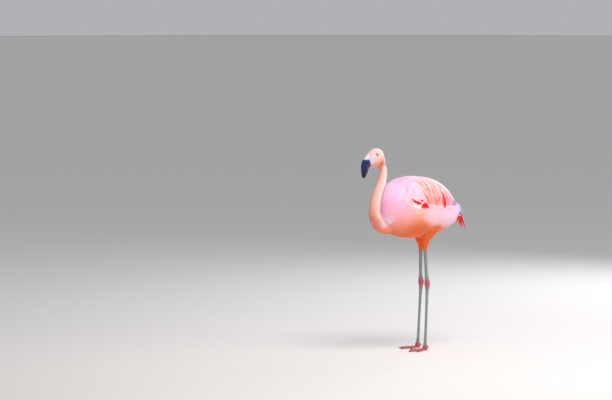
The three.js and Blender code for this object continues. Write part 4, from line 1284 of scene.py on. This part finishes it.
def free_vanes(root, ways, length, half, droop, aside, pale, deep, rim, side=1, rings=16, blunt=6.0,
               ragged=0.0):
    """Vanes that leave one place or several and droop as the square of the way along. ragged nicks
    their rims with a sharp wave. pale and deep are hex values."""
    n = len(ways)
    u = np.linspace(0, 1, rings)
    ways = unit(np.asarray(ways, float)) * np.array([side, 1, 1])
    root = np.broadcast_to(root, (n, 3)) * np.array([side, 1, 1])
    centre = root[:, None] + ways[:, None] * (np.asarray(length, float)[:, None] * u)[..., None] / 1000
    centre = centre - np.array([0, 0, 1.0]) * (np.asarray(droop, float)[:, None] * u * u)[..., None] / 1000
    onward = unit(np.gradient(centre, axis=1))
    aside = np.broadcast_to(np.asarray(aside, float), (n, 3)) * np.array([side, 1, 1])
    aside = unit(aside[:, None] - onward * np.einsum("ik,ijk->ij", aside, onward)[..., None])
    over = np.cross(onward, aside)
    turn = np.where(over[..., 2:] < 0, -1, 1)
    over, aside = over * turn, aside * turn
    nicks = 1 - ragged * np.abs(np.sin(u[None] * 21 + CHANCE.uniform(0, 6, (n, 1))))
    wide = np.asarray(half, float)[:, None] * vane_widths(rings, blunt)[None] * nicks / 1000
    pale, deep = (np.broadcast_to(linear(code), (n, 3)) for code in (pale, deep))
    return long_vanes(centre, aside, over, wide, FREE_CROWN, FREE_THICK, pale, deep, rim)


# The tail's fan, from its left feather to its right one.
FAN = 11
share, every = np.linspace(-1, 1, FAN), np.ones(FAN)
fan = free_vanes(
    place(-128, 13 * share, 510 - 3 * share ** 2 + 0.6 * np.cos(np.arange(FAN) * np.pi)),
    np.stack([0.17 * share, every, 0.05 + 0 * share], -1), 68.5 - 6 * share ** 2, 9.0 * every,
    7 + 2 * share ** 2, np.stack([every, 0 * share, 0.15 * share], -1), "dcd2ee", "c4b6e0", 0.5)
finished_coat("tail_fan", FLIGHT, fan, ["tail"])

# The crimson plumes: their root, and the way and the length in mm of each, as left, rear and up.
PLUME_ROOT = place(-154, 26, 515)
HANGING = (
    ([0.02, 0.42, -0.92], 82), ([0.00, 0.28, -0.96], 66), ([0.04, 0.06, -1], 58),
    ([0.07, 0.16, -0.98], 72), ([0.06, -0.4, -0.9], 42), ([0.05, -0.18, -0.95], 50))
TUCKED = (([-0.1, 0.9, -0.42], 44), ([-0.12, 0.8, -0.55], 42), ([-0.1, 0.7, -0.7], 38))
for (side, name), plumes in zip(SIDES, (HANGING, TUCKED)):
    ways, length = zip(*plumes)
    n = len(plumes)
    made = free_vanes(PLUME_ROOT, ways, length, np.resize([3.6, 4.2, 4.0], n), np.full(n, 4.0),
                      [0.45, 0.9, 0.2], "e4281e", "cc0e0c", 0.6, side, 24, 3.0, ragged=0.22)
    finished_coat(f"crimson_plumes_{name}", FLIGHT, made, [f"plumes_{name}"])

# The black tips of the folded wings: s and t at their roots and tips, and half widths in mm.
TIP_ROOTS = (0.93, np.array([0.13, 0.17, 0.21, 0.25]))
TIP_ENDS = (np.array([1.00, 1.02, 1.04, 1.05]), np.array([0.10, 0.15, 0.20, 0.25]))
for side, name in SIDES:
    black = np.array([linear(code) for code in ("17151a", "1d1b20", "141318", "1a181d")])
    made = wing_layer(side, TIP_ROOTS, TIP_ENDS, [4.5, 5.0, 5.0, 4.5], -5.6, -4.6, black * 1.5, black, 0.8,
                      blunt=3.0)
    finished_coat(f"wing_tip_vanes_{name}", FLIGHT, made, [f"wing_tip_{name}"])


# ------------------------------------------------------------------ the bill
# The depth of the nostril's slit in mm.
SLIT_DEPTH = 1.5


def bill_half(table, upper):
    """One half of the bill. Each section is half an ellipse that stands on the lip, with a shallow
    groove along its side and, on the upper half, a slit for the nostril; the lip is drawn in a
    little so that the gape shows as a line, with fine ridges along it. shade is 1 in the slit."""
    t, around = round_grid(np.linspace(0, 7, 240), 84)
    row = lambda column: along(table, column, t)
    over, wide = np.sin(around).clip(0), np.cos(around)
    flat = np.sin(around) < 0
    ahead, rise = row(1) - row(3), row(2) - row(4)
    tall = np.hypot(ahead, rise)
    if upper:
        groove = 0.55 * np.exp(-((over - 0.36) / 0.10) ** 2) * smooth(0.0, 0.6, t) * smooth(5.8, 4.6, t)
        slit = SLIT_DEPTH * np.exp(-((over - 0.52) / 0.07) ** 2) * smooth(0.55, 0.8, t) * smooth(1.9, 1.5, t)
        dent = groove + slit
    else:
        slit = 0 * t
        dent = 0.6 * np.exp(-((over - 0.55) / 0.12) ** 2) * smooth(0.8, 1.6, t) * smooth(6.2, 5.0, t)
    ridges = 0.16 * np.maximum(np.sin(t * 46), 0) * np.exp(-(over / 0.12) ** 2) * smooth(0.8, 1.4, t)
    tuck = 0.55 * np.exp(-(over / 0.08) ** 2) * (~flat)
    shrink = 0.992 - (dent + tuck + ridges) / np.maximum(row(5), 2.5) * 0.9
    lip = np.where(flat, 0.35, 0.0)
    end = np.sqrt(np.clip(1 - ((t - 6.6) / 0.42).clip(0) ** 2, 0.03, 1))
    points = place(
        row(3) + (over * ahead * shrink + lip * ahead / tall) * end,
        row(5) * wide * shrink * end,
        row(4) + (over * rise * shrink + lip * rise / tall) * end)
    made = rod(points)
    made["shade"] = np.append(slit.ravel() / SLIT_DEPTH, [0, 0])
    return made


def bill_colour(points):
    """Bill: bone white with a pink flush at its base, and blue-black from the bend to the tip; the
    border runs level, with a ragged edge of about a millimetre."""
    forward, _, height = millimetres(points)
    border = height - (716.5 - 60 * smooth(266, 259, forward)) + 0.9 * waves(points, 0.006, 17)
    white = blend(linear("d2c4d6"), linear("e2b2b8"), smooth(262, 246, forward) * 0.35)
    black = blend(linear("04245e"), linear("061026"), smooth(705, 655, height))
    return blend(white, black, smooth(1.8, -1.8, border))


for name, rows, upper in (("bill_upper", BILL_UPPER, True), ("bill_lower", BILL_LOWER, False)):
    made = bill_half(rows, upper)
    # The nostril's slit is darkened with painted shade.
    tone = blend(bill_colour(made["corners"]), linear("4a3844"), 0.8 * made["shade"])
    piece(f"{name}_sheath", marked(mesh_from(f"{name}_sheath", made), tint=tone), [HORN], [name])

# ------------------------------------------------------------------ eyes and claws
for side, name in SIDES:
    middle, out, ahead, up = eye_frame(side)
    turn, around = round_grid(np.linspace(0, np.pi, 66)[1:-1], 64)
    swell = 0.985 + 0.03 * np.exp(-(turn / 0.45) ** 2)
    ring = EYE_RADIUS * swell / 1000
    points = middle + (np.cos(turn) * ring)[..., None] * out + (np.sin(turn) * ring)[..., None] * (
        np.cos(around)[..., None] * ahead + np.sin(around)[..., None] * up)
    made = tube(points, middle + out * EYE_RADIUS * 1.015 / 1000, middle - out * EYE_RADIUS * 0.985 / 1000)
    turned = np.concatenate([turn.ravel(), [0, np.pi]])
    spoke = np.concatenate([around.ravel(), [0, 0]])
    iris = ramp(np.degrees(turned), (0, "07070a"), (17, "07070a"), (19.5, "6d4a10"), (24, "e2c566"),
                (36, "ecd890"), (42, "b08e3c"), (46, "241a12"), (52, "3a2a24"), (180, "3a2a24"))
    vane = np.stack([spoke * 3.0, np.degrees(turned) / 14], -1)
    mesh = marked(mesh_from(f"eyeball_{name}", made), tint=iris, vane=vane)
    piece(f"eyeball_{name}", mesh, [EYE], [f"eye_{name}"])

for side, name in SIDES:
    for toe, (length, turn) in TOES.items():
        s, around = round_grid(np.linspace(0, 1, 18), 20)
        size = np.sqrt(np.clip(1 - 0.93 * s ** 2.2, 0, 1))
        out = length - CLAW_LENGTH - 0.6 + (CLAW_LENGTH + 0.9) * s
        height = 0.4 + 1.9 * (1 - 0.4 * s) * (1 + np.sin(around) * size)
        made = rod(toe_place(side, turn, out, 2.7 * size * np.cos(around), height))
        tone = ramp(made["corners"][:, 2] * 1000, (0, "1d1918"), (4, "3a3130"))
        mesh = marked(mesh_from(f"claw_horn_{name}_{toe}", made), tint=tone)
        piece(f"claw_horn_{name}_{toe}", mesh, [HORN], [f"claw_{name}_{toe}"])

# ------------------------------------------------------------------ floor, light and camera
# A round sheet, its radius and thickness in metres.
SHEET_RADIUS, SHEET_THICK = 30, 0.02
reach, steps = round_grid(np.linspace(0.02, 1, 40), 96)
sheet = np.stack([SHEET_RADIUS * reach * np.cos(steps), SHEET_RADIUS * reach * np.sin(steps), 0 * reach], -1)
base = sheet - [0, 0, SHEET_THICK]
paper = tube(np.concatenate([sheet, base[::-1]]), np.zeros(3), np.array([0, 0, -SHEET_THICK]))
floor = bpy.data.objects.new("studio_floor", mesh_from("studio_floor", paper))
floor.data.materials.append(studio_paper("studio_paper"))
SCENE.collection.objects.link(floor)


def soft_light(name, place_at, aim, size, watts, code="ffffff"):
    """A square area light of that size in metres, turned to its aim."""
    lamp = bpy.data.lights.new(name, "AREA")
    lamp.size, lamp.energy, lamp.color = size, watts, linear(code)
    made = bpy.data.objects.new(name, lamp)
    made.location = place_at
    made.rotation_euler = (Vector(aim) - Vector(place_at)).to_track_quat("-Z", "Y").to_euler()
    made.visible_camera = False
    SCENE.collection.objects.link(made)


soft_light("overhead_key", (1.3, -0.3, 2.7), (0, 0, 0.5), 1.5, 49, "fff8f2")
soft_light("low_fill", (1.7, -1.9, 0.45), (0, 0, 0.45), 1.6, 8, "fff4ee")
soft_light("side_fill", (2.6, 1.4, 1.3), (0, 0, 0.5), 1.8, 22, "f4f4ff")
soft_light("rear_fill", (-0.8, 2.6, 1.7), (0, 0.05, 0.5), 1.8, 40, "f6f4ff")
world = bpy.data.worlds.new("studio_air")
world.use_nodes = True
world.node_tree.nodes["Background"].inputs[0].default_value = colour_of("e6e8ec")
world.node_tree.nodes["Background"].inputs[1].default_value = 0.55
SCENE.world = world
SCENE.view_settings.view_transform = "Standard"

# The camera's angles and distance from the bird's middle in metres, and its focal length, the
# picture's width, and how far right of and below its middle the bird stands, all in pixels.
YAW, TILT, DISTANCE, BIRD_MIDDLE = np.radians(42.0), np.radians(5.6), 13.0, np.array([0, 0.05144, 0.395])
FOCAL_PIXELS, WIDTH_PIXELS, RIGHT_PIXELS, BELOW_PIXELS = 3513.5, 612, 117, 42.2
SENSOR_MM = 36.0
to_right = np.array([np.sin(YAW), np.cos(YAW), 0.0])
to_camera = np.array([np.cos(YAW) * np.cos(TILT), -np.sin(YAW) * np.cos(TILT), np.sin(TILT)])
upward = np.cross(to_camera, to_right)
looking = unit(-to_camera - RIGHT_PIXELS / FOCAL_PIXELS * to_right + BELOW_PIXELS / FOCAL_PIXELS * upward)
lens = bpy.data.cameras.new("camera")
lens.sensor_width, lens.lens, lens.clip_end = SENSOR_MM, SENSOR_MM * FOCAL_PIXELS / WIDTH_PIXELS, 100.0
camera = bpy.data.objects.new("camera", lens)
camera.location = BIRD_MIDDLE + DISTANCE * to_camera
camera.rotation_euler = Vector(looking).to_track_quat("-Z", "Y").to_euler()
SCENE.collection.objects.link(camera)
SCENE.camera = camera

bpy.context.view_layer.update()
